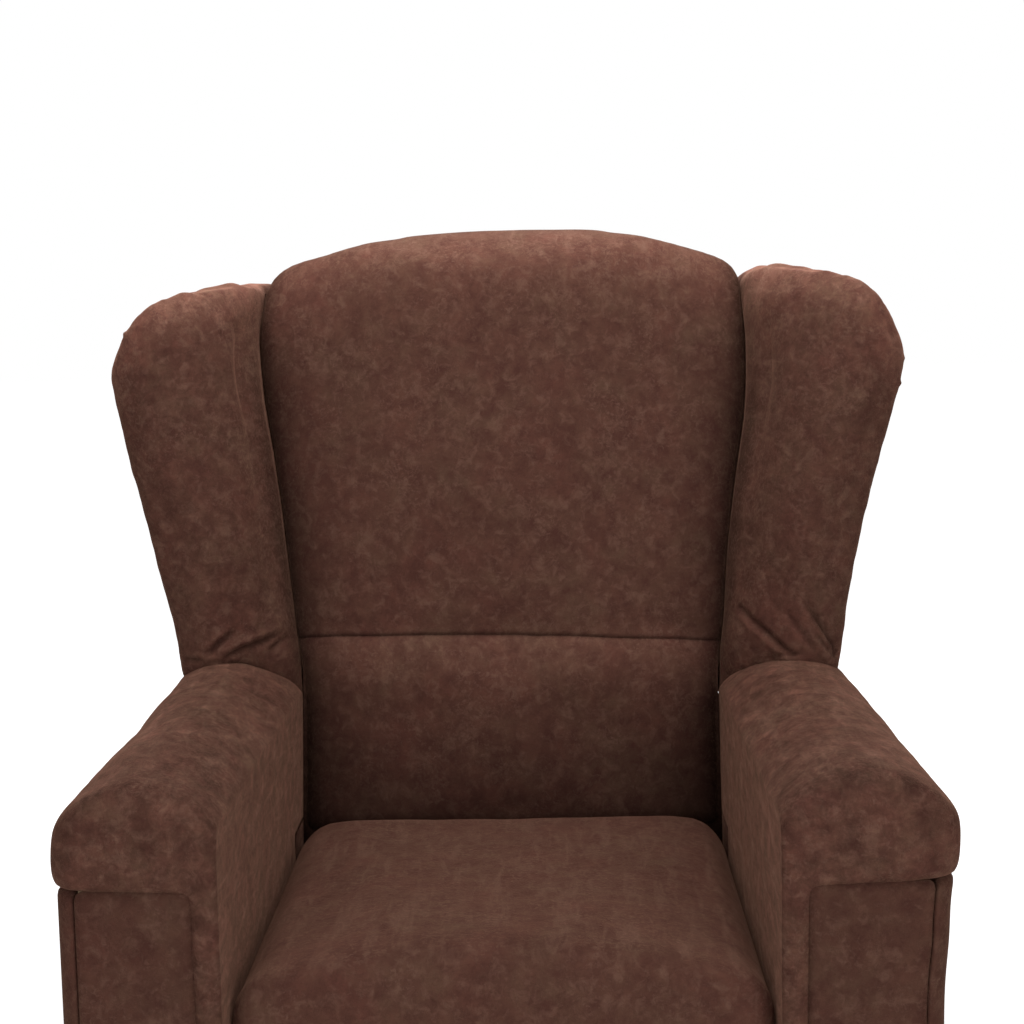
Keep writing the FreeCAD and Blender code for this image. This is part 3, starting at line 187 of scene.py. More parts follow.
def make_floor():
    """A plain pale floor, with the chair's shadow on it."""
    bpy.ops.mesh.primitive_plane_add(size=floor_size)
    floor = bpy.context.object
    floor.name = "floor"
    material = bpy.data.materials.new("floor_paper")
    material.use_nodes = True
    nodes = material.node_tree.nodes
    links = material.node_tree.links
    nodes.clear()
    out = nodes.new("ShaderNodeOutputMaterial")
    paper = nodes.new("ShaderNodeBsdfDiffuse")
    paper.inputs["Color"].default_value = (paper_grey, paper_grey, paper_grey, 1)
    glow = nodes.new("ShaderNodeEmission")
    glow.inputs["Color"].default_value = (1, 1, 1, 1)
    path = nodes.new("ShaderNodeLightPath")
    place = nodes.new("ShaderNodeTexCoord")
    away = nodes.new("ShaderNodeVectorMath")
    away.operation = "LENGTH"
    links.new(place.outputs["Object"], away.inputs[0])
    paler = nodes.new("ShaderNodeMapRange")
    paler.inputs["From Min"].default_value = glow_near_until
    paler.inputs["From Max"].default_value = glow_full_from
    paler.inputs["To Min"].default_value = glow_near
    paler.inputs["To Max"].default_value = 1.0
    links.new(away.outputs["Value"], paler.inputs["Value"])
    share = nodes.new("ShaderNodeMath")
    share.operation = "MULTIPLY"
    links.new(path.outputs["Is Camera Ray"], share.inputs[0])
    links.new(paler.outputs["Result"], share.inputs[1])
    links.new(share.outputs[0], glow.inputs["Strength"])
    add = nodes.new("ShaderNodeAddShader")
    links.new(paper.outputs[0], add.inputs[0])
    links.new(glow.outputs[0], add.inputs[1])
    links.new(add.outputs[0], out.inputs["Surface"])
    floor.data.materials.append(material)


# The suede's colours, and how many clouds, blotches, flecks and fibres it has to the metre.
RED_BROWN = (0.098, 0.0391, 0.0281)
OLIVE_BROWN = (0.092, 0.0474, 0.0313)
DARK_BROWN = (0.064, 0.0258, 0.0194)
BRUSHED_BROWN = (0.155, 0.0824, 0.0583)
FLECK_BROWN = (0.150, 0.0803, 0.0572)
FIBRE_SHADOW = (0.040, 0.0175, 0.0130)
SHEEN_TINT = (1.0, 0.54, 0.36)
clouds_per_metre = 13
blotches_per_metre = 48
patches_per_metre = 20
flecks_per_metre = 210
fibres_per_metre = 1300
BRUSHED_PER_METRE = (75, 13, 75)
STROKES_PER_METRE = (80, 38, 80)
STROKE_TURN = (0, 0, 0.6)

# The other finishes: a darker and a lighter colour each.
BEECH = ((0.030, 0.014, 0.009), (0.070, 0.034, 0.020))
BIRCH = ((0.42, 0.27, 0.14), (0.60, 0.43, 0.26))
BIRCH_KNOT = (0.20, 0.10, 0.045)
ZINC = ((0.50, 0.50, 0.47), (0.68, 0.68, 0.66))
COATING = ((0.022, 0.022, 0.024), (0.040, 0.040, 0.043))
WEBBING = ((0.40, 0.35, 0.27), (0.60, 0.55, 0.46))
NYLON = ((0.022, 0.022, 0.022), (0.055, 0.053, 0.050))


# Materials.
class Surface:
    """A material being wired up round one Principled shader."""

    def __init__(self, name, roughness, metallic=0.0, sheen=None):
        self.material = bpy.data.materials.new(name)
        self.material.use_nodes = True
        self.nodes = self.material.node_tree.nodes
        self.links = self.material.node_tree.links
        self.shader = self.nodes["Principled BSDF"]
        self.shader.inputs["Roughness"].default_value = roughness
        self.shader.inputs["Metallic"].default_value = metallic
        if sheen:
            weight, rough, tint = sheen
            self.shader.inputs["Sheen Weight"].default_value = weight
            self.shader.inputs["Sheen Roughness"].default_value = rough
            self.shader.inputs["Sheen Tint"].default_value = (*tint, 1)
        self.place = self.nodes.new("ShaderNodeTexCoord").outputs["Object"]

    def stretched(self, scale, turn=(0, 0, 0)):
        """The place, scaled by axis, for grain and streaks."""
        mapping = self.nodes.new("ShaderNodeMapping")
        mapping.inputs["Scale"].default_value = scale
        mapping.inputs["Rotation"].default_value = turn
        self.links.new(self.place, mapping.inputs["Vector"])
        return mapping.outputs["Vector"]

    def noise(self, per_metre, detail=3.0, rough=0.5, warp=0.0, place=None):
        """Cloudy noise from 0 to 1."""
        node = self.nodes.new("ShaderNodeTexNoise")
        node.inputs["Scale"].default_value = per_metre
        node.inputs["Detail"].default_value = detail
        node.inputs["Roughness"].default_value = rough
        node.inputs["Distortion"].default_value = warp
        self.links.new(place or self.place, node.inputs["Vector"])
        return node.outputs["Fac"]

    def spread(self, value, low, high, out_low=0.0, out_high=1.0):
        """A value stretched from one range to another."""
        node = self.nodes.new("ShaderNodeMapRange")
        node.inputs["From Min"].default_value = low
        node.inputs["From Max"].default_value = high
        node.inputs["To Min"].default_value = out_low
        node.inputs["To Max"].default_value = out_high
        self.links.new(value, node.inputs["Value"])
        return node.outputs["Result"]

    def mix(self, share, first, second, blend="MIX"):
        """One colour laid over another."""
        node = self.nodes.new("ShaderNodeMix")
        node.data_type = "RGBA"
        node.blend_type = blend
        for socket, value in ((node.inputs[0], share), (node.inputs[6], first), (node.inputs[7], second)):
            if isinstance(value, bpy.types.NodeSocket):
                self.links.new(value, socket)
            elif isinstance(value, tuple):
                socket.default_value = (*value, 1)
            else:
                socket.default_value = value
        return node.outputs[2]

    def maths(self, operation, first, second):
        """Two values added, multiplied or the like."""
        node = self.nodes.new("ShaderNodeMath")
        node.operation = operation
        for socket, value in ((node.inputs[0], first), (node.inputs[1], second)):
            if isinstance(value, bpy.types.NodeSocket):
                self.links.new(value, socket)
            else:
                socket.default_value = value
        return node.outputs[0]

    def painted(self, name):
        """A value kept at the mesh's points."""
        node = self.nodes.new("ShaderNodeAttribute")
        node.attribute_name = name
        return node.outputs["Fac"]

    def scaled(self, colour, factor):
        """A colour made brighter or darker by a factor."""
        node = self.nodes.new("ShaderNodeVectorMath")
        node.operation = "SCALE"
        self.links.new(colour, node.inputs[0])
        self.links.new(factor, node.inputs["Scale"])
        return node.outputs["Vector"]

    def bump(self, height, distance, after=None):
        """A fine relief on the surface, over an earlier one."""
        node = self.nodes.new("ShaderNodeBump")
        node.inputs["Strength"].default_value = 1.0
        node.inputs["Distance"].default_value = distance
        self.links.new(height, node.inputs["Height"])
        if after:
            self.links.new(after, node.inputs["Normal"])
        return node.outputs["Normal"]

    def finish(self, colour, normal=None, roughness=None):
        """Wires the colour, relief and roughness to the shader."""
        self.links.new(colour, self.shader.inputs["Base Color"])
        if normal:
            self.links.new(normal, self.shader.inputs["Normal"])
        if roughness:
            self.links.new(roughness, self.shader.inputs["Roughness"])
        return self.material


def suede():
    """Mottled brown microfibre suede: clouds of red and olive brown, small pale flecks and a short brushed
    nap. A value kept at a cover's points scales its colour: it holds painted light and painted shade as well
    as the lie of its nap, and its strokes say how plainly it is brushed."""
    surface = Surface("faux_suede_cloth", 0.9, sheen=(0.15, 0.35, SHEEN_TINT))
    surface.shader.inputs["Specular IOR Level"].default_value = 0.02
    hue = surface.spread(surface.noise(clouds_per_metre, 6, 0.68, 0.3), 0.36, 0.64)
    base = surface.mix(hue, RED_BROWN, OLIVE_BROWN)
    tone = surface.spread(surface.noise(blotches_per_metre, 8, 0.72, 0.2), 0.36, 0.62)
    base = surface.mix(tone, DARK_BROWN, base)
    brushed = surface.noise(1, 6, 0.66, 0.5, surface.stretched(BRUSHED_PER_METRE))
    brushed = surface.maths("MULTIPLY", surface.spread(brushed, 0.50, 0.68), 0.5)
    base = surface.mix(brushed, base, BRUSHED_BROWN)
    flecks = surface.spread(surface.noise(flecks_per_metre, 6, 0.7, 0.6), 0.50, 0.66)
    patches = surface.spread(surface.noise(patches_per_metre, 4, 0.6, 0.4), 0.42, 0.62)
    flecked = surface.maths("MULTIPLY", flecks, surface.maths("MULTIPLY", patches, 0.6))
    base = surface.mix(flecked, base, FLECK_BROWN)
    fibres = surface.noise(fibres_per_metre, 2, 0.6)
    base = surface.mix(surface.spread(fibres, 0.3, 0.7, 0.25, 0.0), base, FIBRE_SHADOW)
    strokes = surface.noise(1, 8, 0.70, 0.8, surface.stretched(STROKES_PER_METRE, STROKE_TURN))
    strokes = surface.spread(strokes, 0.34, 0.66, -1, 1)
    strokes = surface.maths("MULTIPLY", strokes, surface.painted("strokes"))
    # Painted light and painted shade, with the nap's own streaks and brushed strokes, scale the colour.
    painted_light_nap_and_strokes = surface.maths("ADD", surface.painted("nap"), strokes)
    base = surface.scaled(base, surface.maths("POWER", 2.0, painted_light_nap_and_strokes))
    relief = surface.bump(flecks, 0.0003, surface.bump(fibres, 0.00025))
    return surface.finish(base, relief, surface.spread(tone, 0, 1, 0.95, 0.82))


def wood(name, dark, light, roughness, grain_per_metre, axis):
    """Straight-grained wood along one axis, with pores."""
    surface = Surface(name, roughness)
    scale = [1.0, 1.0, 1.0]
    scale[axis] = 0.06
    along = surface.stretched(tuple(scale))
    rings = surface.spread(surface.noise(grain_per_metre, 4, 0.55, 2.0, along), 0.3, 0.7)
    base = surface.mix(rings, dark, light)
    pores = surface.spread(surface.noise(grain_per_metre * 9, 2, 0.5, 0.2, along), 0.35, 0.5)
    base = surface.mix(surface.spread(pores, 0, 1, 0.3, 0.0), base, tuple(c * 0.45 for c in dark))
    rougher = surface.spread(rings, 0, 1, roughness, roughness + 0.12)
    return surface.finish(base, surface.bump(pores, 0.0002), rougher)


def plywood():
    """Birch plywood and sawn pine for the frame, with plies as fine layers."""
    surface = Surface("frame_plywood", 0.65)
    along = surface.stretched((0.08, 0.5, 1.0))
    grain = surface.spread(surface.noise(60, 5, 0.6, 1.4, along), 0.3, 0.7)
    base = surface.mix(grain, *BIRCH)
    knots = surface.spread(surface.noise(9, 2, 0.4, 0.3), 0.66, 0.74)
    base = surface.mix(surface.maths("MULTIPLY", knots, 0.6), base, BIRCH_KNOT)
    return surface.finish(base, surface.bump(grain, 0.00015), surface.spread(grain, 0, 1, 0.6, 0.75))


def plated_steel():
    """Bright zinc plate, slightly clouded."""
    surface = Surface("zinc_plate", 0.32, metallic=1.0)
    cloud = surface.spread(surface.noise(120, 4, 0.6, 0.8), 0.3, 0.7)
    base = surface.mix(cloud, *ZINC)
    grain = surface.bump(surface.noise(900, 2), 0.00005)
    return surface.finish(base, grain, surface.spread(cloud, 0, 1, 0.26, 0.42))


def powder_coat():
    """Black powder coat with a fine orange-peel surface and dust in it."""
    surface = Surface("black_powder_coat", 0.45)
    cloud = surface.spread(surface.noise(40, 4, 0.6), 0.3, 0.7)
    base = surface.mix(cloud, *COATING)
    peel = surface.noise(700, 2, 0.5)
    return surface.finish(base, surface.bump(peel, 0.0001), surface.spread(cloud, 0, 1, 0.40, 0.52))


def elastic_webbing():
    """Undyed elastic webbing with its ribs."""
    surface = Surface("elastic_webbing", 0.8)
    ribs = surface.nodes.new("ShaderNodeTexWave")
    ribs.bands_direction = "Z"
    ribs.inputs["Scale"].default_value = 120
    ribs.inputs["Distortion"].default_value = 0.6
    surface.links.new(surface.place, ribs.inputs["Vector"])
    base = surface.mix(ribs.outputs["Fac"], *WEBBING)
    weave = surface.noise(1200, 2)
    return surface.finish(base, surface.bump(ribs.outputs["Fac"], 0.0004, surface.bump(weave, 0.0002)))


def nylon():
    """Black moulded nylon, scuffed."""
    surface = Surface("black_nylon", 0.4)
    scuffs = surface.spread(surface.noise(300, 4, 0.7, 1.0), 0.45, 0.7)
    base = surface.mix(scuffs, *NYLON)
    return surface.finish(base, surface.bump(scuffs, 0.0001), surface.spread(scuffs, 0, 1, 0.35, 0.6))


def make_materials():
    """One finish for each material slot of the record."""
    return {
        "faux_suede": suede(),
        "frame_wood": plywood(),
        "foot_wood": wood("stained_beech", *BEECH, roughness=0.35, grain_per_metre=90, axis=2),
        "glide_plastic": nylon(),
        "webbing": elastic_webbing(),
        "zinc_steel": plated_steel(),
        "black_steel": powder_coat(),
    }


def finish_nodes(finishes):
    """Gives each CAD node the finish of its slot."""
    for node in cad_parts.values():
        for place in node.material_slots:
            slot = place.material.name.split(".")[0]
            place.material = finishes[slot]


# Waves are sums of this many sines. Their sum is divided by about its usual height.
wave_count = 12
usual_wave_sum = 3.5
fine_wave_height = 0.0003

# Points nearer to a cut or to each other than the first count as one. The second is further than all places.
weld_distance = 1e-6
beyond_all = 1e9


# Mesh tools.
def points_of(piece):
    """A piece's points as an array."""
    points = np.zeros(len(piece.data.vertices) * 3)
    piece.data.vertices.foreach_get("co", points)
    return points.reshape(-1, 3)


def normals_of(piece):
    """A piece's normals at its points, as an array."""
    normals = np.zeros(len(piece.data.vertices) * 3)
    piece.data.vertices.foreach_get("normal", normals)
    return normals.reshape(-1, 3)


def move_points(piece, points):
    """Puts a piece's points where an array says."""
    piece.data.vertices.foreach_set("co", points.ravel())
    piece.data.update()


def push(piece, amount):
    """Moves a piece's points along their normals, by one way or by one for each point."""
    if isinstance(amount, np.ndarray):
        amount = amount[:, None]
    move_points(piece, points_of(piece) + normals_of(piece) * amount)


def keep_shape(piece):
    """Makes a piece's mesh what its modifiers make of it."""
    depsgraph = bpy.context.evaluated_depsgraph_get()
    made = bpy.data.meshes.new_from_object(piece.evaluated_get(depsgraph))
    piece.modifiers.clear()
    piece.data = made


def shaped(piece, kind, **settings):
    """Applies one modifier to a piece."""
    modifier = piece.modifiers.new(kind.lower(), kind)
    for name, value in settings.items():
        setattr(modifier, name, value)
    keep_shape(piece)


def new_piece(name, made):
    """A new piece from a finished bmesh."""
    mesh = bpy.data.meshes.new(name)
    made.to_mesh(mesh)
    made.free()
    piece = bpy.data.objects.new(name, mesh)
    scene.collection.objects.link(piece)
    return piece


def cut_along(made, place, normal, clear_outer=False):
    """Cuts a bmesh's faces along a plane, and can clear what lies beyond it."""
    bmesh.ops.bisect_plane(made, geom=made.verts[:] + made.edges[:] + made.faces[:], plane_co=place,
                           plane_no=normal, dist=weld_distance, clear_outer=clear_outer)


def cover_of(name, nodes, voxel, smoothing, fuller=0.0):
    """A soft cover over the solids of some nodes: one closed skin of even faces of about the voxel's size.
    It can be made a little fuller than its filling."""
    made = bmesh.new()
    for node in nodes:
        made.from_mesh(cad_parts[node].data)
    piece = new_piece(name, made)
    shaped(piece, "REMESH", mode="VOXEL", voxel_size=voxel)
    if smoothing:
        shaped(piece, "SMOOTH", factor=0.5, iterations=smoothing)
    if fuller:
        push(piece, fuller)
    return piece


def swell(pieces, pressure, cap, evened=9, fuller=0.0011, frames=20):
    """Blows the covers up over their filling with a cloth simulation. No point moves further than cap. The
    covers are evened afterwards and filled out again by what that takes off."""
    before = {}
    for piece in pieces:
        before[piece.name] = points_of(piece)
        cloth = piece.modifiers.new("cloth", "CLOTH")
        cloth.settings.quality = 4
        cloth.settings.use_pressure = True
        cloth.settings.uniform_pressure_force = pressure
        cloth.settings.effector_weights.gravity = 0
        cloth.point_cache.frame_start = 1
        cloth.point_cache.frame_end = frames
    for step in range(1, frames + 1):
        scene.frame_set(step)
    for piece in pieces:
        keep_shape(piece)
        start = before[piece.name]
        moved = points_of(piece) - start
        length = np.linalg.norm(moved, axis=1, keepdims=True)
        moved *= np.minimum(1, cap / np.maximum(length, 1e-9))
        move_points(piece, start + moved)
        shaped(piece, "SMOOTH", factor=0.5, iterations=evened)
        push(piece, fuller)
    scene.frame_set(1)


def waves(points, seed, length):
    """Gentle seeded unevenness of about one length, mostly from -1 to 1."""
    draw = np.random.default_rng(seed)
    total = np.zeros(len(points))
    for wave in range(wave_count):
        way = draw.normal(size=3)
        way *= 2 * math.pi / (np.linalg.norm(way) * length * draw.uniform(0.7, 1.6))
        total += np.sin(points @ way + draw.uniform(0, 2 * math.pi))
    return total / usual_wave_sum


def uneven(points, seed, height, length, fine_length):
    """The light unevenness of a filling: waves of some height and length, with fine ones over them."""
    return height * waves(points, seed, length) + fine_wave_height * waves(points, seed + 1, fine_length)


def hump(value, middle, width):
    """A smooth hump of height 1."""
    return np.exp(-((value - middle) / width) ** 2)


def at_edge(distance, amount, width):
    """An amount that fades smoothly within about a width of where the distance is 0."""
    return amount * hump(distance, 0, width)


def rise(value, low, high):
    """A smooth step from 0 to 1."""
    share = np.clip((value - low) / (high - low), 0, 1)
    return share * share * (3 - 2 * share)


# Places in the photograph.
def seen_at(points):
    """Where points show in the photograph, in its pixels, and how far away they are."""
    right, up, forward = (np.array(axis) for axis in camera_axes())
    away = points - np.array(camera_place)
    far = away @ forward
    across = PICTURE / 2 + focal_pixels * (away @ right) / far
    down = PICTURE / 2 - focal_pixels * (away @ up) / far
    return np.stack([across, down], axis=1), far


def draw_over(pieces, pairs, reach, share_of):
    """Draws covers over as the photograph shows them: what shows at each first place goes to its second one,
    and what shows within a reach in pixels goes with it. Share_of says by how much each point moves."""
    right, up, forward = (np.array(axis) for axis in camera_axes())
    for piece in pieces:
        points = points_of(piece)
        shown, far = seen_at(points)
        shift = np.zeros_like(shown)
        weight = np.zeros(len(points))
        for place, goal in pairs:
            near = np.exp(-((shown - np.array(place)) ** 2).sum(1) / reach ** 2)
            shift += near[:, None] * (np.array(goal, float) - np.array(place))
            weight += near
        shift *= (share_of(points) * far / focal_pixels / np.maximum(weight, 1))[:, None]
        move_points(piece, points + shift[:, :1] * right - shift[:, 1:] * up)


def ahead_of_posts(points):
    """From 0 at the rear of the back to 1 at the front of its posts."""
    return rise(depth_on_back(points), *POST_DEPTHS)


def ahead_of_tail(points):
    """From 0 at the rear ends of the arms to 1 where the wings stand on them."""
    return 1 - rise(points[:, 1], *ARM_TAIL)


def fold(piece, places, width, depth):
    """Presses a fold into a cover along a line of places in the photograph, with a ridge on the line's
    right. The width is in the photograph's pixels. Painted shade lies in the fold and a painted highlight on
    its ridge."""
    points = points_of(piece)
    normals = normals_of(piece)
    shown = seen_at(points)[0]
    best = np.full(len(points), beyond_all)
    side = np.zeros(len(points))
    share = np.zeros(len(points))
    lengths = [math.dist(a, b) for a, b in zip(places, places[1:])]
    done = 0.0
    for (a, b), length in zip(zip(places, places[1:]), lengths):
        a = np.array(a, float)
        way = (np.array(b, float) - a) / length
        along = np.clip((shown - a) @ way, 0, length)
        off = shown - a - along[:, None] * way
        distance = np.linalg.norm(off, axis=1)
        nearer = distance < best
        best = np.where(nearer, distance, best)
        side = np.where(nearer, off @ np.array([-way[1], way[0]]), side)
        share = np.where(nearer, (done + along) / sum(lengths), share)
        done += length
    toward = ((points - np.array(camera_place)) * normals).sum(1) < 0
    taper = np.sqrt(np.sin(np.pi * np.clip(share, 0, 1)).clip(0, 1)) * (1 - fold_end) + fold_end
    dip = hump(best, 0, width)
    crest = hump(best, 0, ridge_reach * width) * hump(side, ridge_off * width, ridge_width * width)
    push(piece, np.where(toward, (ridge_height * crest - dip) * depth * taper, 0.0))
    # Painted shade in the fold and a painted highlight on its ridge.
    fold_light_and_shade = ridge_highlight * crest - at_edge(best, fold_shade, fold_shade_width * width)
    add_painted_light(piece, np.where(toward, fold_light_and_shade * taper * depth / usual_fold_depth, 0.0))


def small_bumps(piece, places):
    """Small puckers at the edge, at places in the photograph."""
    shown = seen_at(points_of(piece))[0]
    amount = np.zeros(len(shown))
    for place in places:
        amount += bump_height * np.exp(-((shown - np.array(place)) ** 2).sum(1) / bump_reach ** 2)
    push(piece, amount)


# Strips and linings.
def lining_of(name, node, cuts):
    """The cloth turned in under an edge: what is left of a soft part when all beyond some planes is cut
    away."""
    made = bmesh.new()
    made.from_mesh(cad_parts[node].data)
    for place, normal in cuts:
        cut_along(made, place, normal, clear_outer=True)
    piece = new_piece(name, made)
    shaped(piece, "SUBSURF", subdivision_type="SIMPLE", levels=2)
    return piece


def flat_strip(name, offs, deeps, heights):
    """A flat strip of cloth between two places along each axis."""
    low = Vector((min(offs), min(deeps), min(heights)))
    high = Vector((max(offs), max(deeps), max(heights)))
    made = bmesh.new()
    bmesh.ops.create_cube(made, size=1)
    bmesh.ops.scale(made, vec=high - low, verts=made.verts[:])
    bmesh.ops.translate(made, vec=(low + high) / 2, verts=made.verts[:])
    return new_piece(name, made)


def side_gusset(name, sign):
    """A thin side piece of cloth that closes the back's side beside the arm, turned in along its front
    edge."""
    made = bmesh.new()

    def corner(off, height, depth):
        return made.verts.new(on_back(sign * off, height, depth))

    for (low, near), (high, far) in zip(GUSSET_FRONT, GUSSET_FRONT[1:]):
        side = [corner(gusset_side, low, near), corner(gusset_side, high, far),
                corner(gusset_side, high, gusset_rear), corner(gusset_side, low, gusset_rear)]
        made.faces.new(side)
        turned = [corner(gusset_turned_in, high, far - gusset_slope),
                  corner(gusset_turned_in, low, near - gusset_slope)]
        made.faces.new([side[0], side[1], *turned])
    bmesh.ops.remove_doubles(made, verts=made.verts[:], dist=weld_distance)
    bmesh.ops.recalc_face_normals(made, faces=made.faces[:])
    piece = new_piece(name, made)
    shaped(piece, "SOLIDIFY", thickness=gusset_thickness, offset=0)
    return piece


def back_closing(name, sign, corners):
    """A thin strip of cloth between the back and a wing. Its corners are off the middle, up the back and
    out."""
    made = bmesh.new()
    made.faces.new([made.verts.new(on_back(sign * off, height, depth)) for off, height, depth in corners])
    piece = new_piece(name, made)
    shaped(piece, "SOLIDIFY", thickness=closing_thickness, offset=0)
    return piece


# How the cloth lies.
def lay_painted_light_and_nap(piece, nap, strokes=0.0):
    """Keeps at a cover's points a value that scales its colour: above 0 paler, below 0 darker. Besides the
    lie of its nap it carries painted light and painted shade. Strokes say how plainly the hand's brushing
    shows in it."""
    for name, value in (("nap", nap), ("strokes", strokes)):
        attribute = piece.data.attributes.new(name, "FLOAT", "POINT")
        attribute.data.foreach_set("value", (np.zeros(len(piece.data.vertices)) + value).astype(np.float32))


def add_painted_light(piece, amount):
    """Adds painted light or painted shade to a cover's colour value, point by point."""
    attribute = piece.data.attributes["nap"]
    nap = np.zeros(len(piece.data.vertices), np.float32)
    attribute.data.foreach_get("value", nap)
    attribute.data.foreach_set("value", (nap + amount).astype(np.float32))


def paint_edge_highlight(piece, amount):
    """Paints a highlight, a paler band, where a cover turns out of the camera's sight."""
    away = points_of(piece) - np.array(camera_place)
    away /= np.linalg.norm(away, axis=1, keepdims=True)
    facing = np.abs((away * normals_of(piece)).sum(1))
    add_painted_light(piece, amount * (1 - rise(facing, *EDGE_FACING)))


def dress(piece, body, slot, *nodes, fill=None):
    """Gives a cover its cloth, the body that it rides on and the nodes that it stands for."""
    piece.data.materials.clear()
    piece.data.materials.append(finishes[slot])
    piece.data.polygons.foreach_set("use_smooth", [True] * len(piece.data.polygons))
    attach(piece, body)
    if nodes:
        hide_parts(*nodes)


# Where the drawn-up covers show at first, and where the photograph shows them.
BACK_PLACES = [
    ((283, 300), (262, 300)), ((283, 340), (263, 340)), ((284, 370), (265, 370)), ((288, 400), (268, 400)),
    ((289, 440), (274, 440)), ((293, 480), (280, 480)), ((296, 520), (286, 520)), ((301, 560), (291, 560)),
    ((303, 600), (296, 600)), ((307, 640), (299, 640)), ((730, 300), (739, 300)), ((729, 340), (742, 340)),
    ((727, 370), (742, 370)), ((724, 400), (741, 400)), ((723, 440), (737, 440)), ((722, 480), (732, 480)),
    ((720, 520), (728, 520)), ((718, 560), (724, 560)), ((715, 600), (722, 600)), ((713, 640), (722, 640)),
    ((149, 296), (154, 305)), ((131, 317), (133, 324)), ((122, 341), (121, 342)), ((120, 365), (114, 365)),
    ((122, 390), (114, 390)), ((127, 420), (121, 420)), ((136, 460), (130, 460)), ((143, 500), (141, 500)),
    ((153, 550), (154, 550)), ((161, 580), (162, 580)), ((168, 615), (172, 615)), ((173, 650), (179, 650)),
    ((180, 281), (180, 293)), ((200, 281), (200, 289)), ((225, 279), (225, 286)), ((255, 282), (254, 285)),
    ((850, 277), (850, 277)), ((870, 294), (873, 290)), ((880, 311), (887, 306)), ((888, 330), (897, 327)),
    ((893, 360), (901, 360)), ((890, 380), (899, 380)), ((886, 400), (894, 400)), ((882, 420), (888, 420)),
    ((878, 450), (879, 450)), ((873, 480), (871, 480)), ((864, 520), (862, 520)), ((857, 560), (853, 560)),
    ((851, 600), (846, 600)), ((846, 640), (841, 640)), ((750, 277), (750, 267)), ((775, 271), (775, 267)),
    ((810, 268), (810, 269)), ((280, 279), (280, 273)), ((320, 255), (320, 258)), ((360, 243), (360, 245)),
    ((400, 238), (400, 238.5)), ((440, 234), (440, 235)), ((480, 232), (480, 232)), ((540, 230), (540, 230)),
    ((600, 234), (600, 232)), ((660, 240), (660, 241)), ((700, 254), (700, 253)),
]
ARCH_PLACES = [
    ((200, 674), (199, 669)), ((222, 666), (222, 667)), ((250, 663), (248, 669)), ((278, 671), (278, 682)),
    ((298, 684), (298, 690)), ((720, 676), (722, 685)), ((745, 660), (742, 672)), ((772, 653), (772, 662)),
    ((803, 653), (803, 659)), ((830, 659), (830, 661)),
]
ARM_PLACES = [
    ((163, 700), (165, 700)), ((146, 720), (147, 720)), ((129, 740), (129, 740)), ((109, 760), (110, 760)),
    ((90, 780), (91, 780)), ((843, 680), (848, 680)), ((860, 700), (865, 700)), ((877, 720), (881, 720)),
    ((890, 740), (897, 740)), ((904, 760), (914, 760)), ((918, 780), (931, 780)), ((928, 810), (941, 810)),
    ((928, 860), (938, 860)), ((928, 930), (933, 930)),
]
FOLDS = {
    "right": [
        ([(236, 631), (222, 641), (207, 655)], 3.6, 0.0055),
        ([(284, 632), (262, 642), (242, 650), (222, 660)], 3.8, 0.0065),
        ([(289, 636), (280, 641), (270, 651)], 3.2, 0.0045),
        ([(205, 662), (194, 660), (181, 658)], 2.8, 0.0045),
        ([(252, 667), (232, 663), (212, 663), (194, 668)], 2.4, 0.0030),
    ],
    "left": [
        ([(738, 606), (752, 621), (765, 632), (781, 647), (795, 655)], 3.4, 0.0060),
        ([(803, 602), (815, 616), (826, 632), (836, 647), (841, 660)], 3.4, 0.0060),
        ([(817, 634), (828, 648), (839, 660)], 3.0, 0.0045),
        ([(785, 612), (806, 637), (815, 650)], 3.8, 0.0035),
        ([(760, 660), (781, 655), (806, 653)], 2.4, 0.0025),
    ],
}
SEAM_PLACES = [
    ((302, 645), (300, 638)), ((335, 644), (335, 638.5)), ((370, 643), (370, 639)),
    ((406, 642), (406, 638)), ((443, 641), (443, 637)), ((475, 640), (475, 636.5)),
    ((510, 639), (510, 636.3)), ((560, 638.5), (560, 637)), ((590, 638), (590, 638.5)),
    ((622, 637.5), (622, 640)), ((665, 637), (665, 640)), ((700, 636.5), (700, 639)),
]
BUMPS = {"right": [(125, 334)], "left": [(902, 358), (899, 383)]}
bump_height = 0.0022
bump_reach = 2.6

# How far, in pixels, each drawing over reaches, and between which depths on the back and which places along
# Y it sets in.
back_reach = 36
arm_reach = 42
seam_reach = 26
POST_DEPTHS = (-0.046, -0.012)
ARM_TAIL = (0.195, 0.225)

# A fold's ridge: its height, and where it runs and how wide it is in widths of the fold. Then how its ends
# taper, and how strong the painted highlight on the ridge and the painted shade in the fold are at the usual
# depth.
ridge_height = 0.5
ridge_off = 1.9
ridge_width = 1.1
ridge_reach = 3
fold_end = 0.15
ridge_highlight = 0.32
fold_shade = 0.9
fold_shade_width = 0.7
usual_fold_depth = 0.006

# How far from the middle the covers meet their neighbours: the back and the wings along a crease that leans
# out, the back and the seat at the arms' inner faces.
crease_low = 0.238
crease_lean = 0.038
crease_starts = 0.327
crease_length = 0.4428
crease_lap = 0.0008
back_side = 0.2388
back_side_until = 0.30
arm_side = 0.2394
arm_lining_side = 0.2396
lining_end = 0.262
wing_lining_top = 0.345
arm_lining_front = 0.130

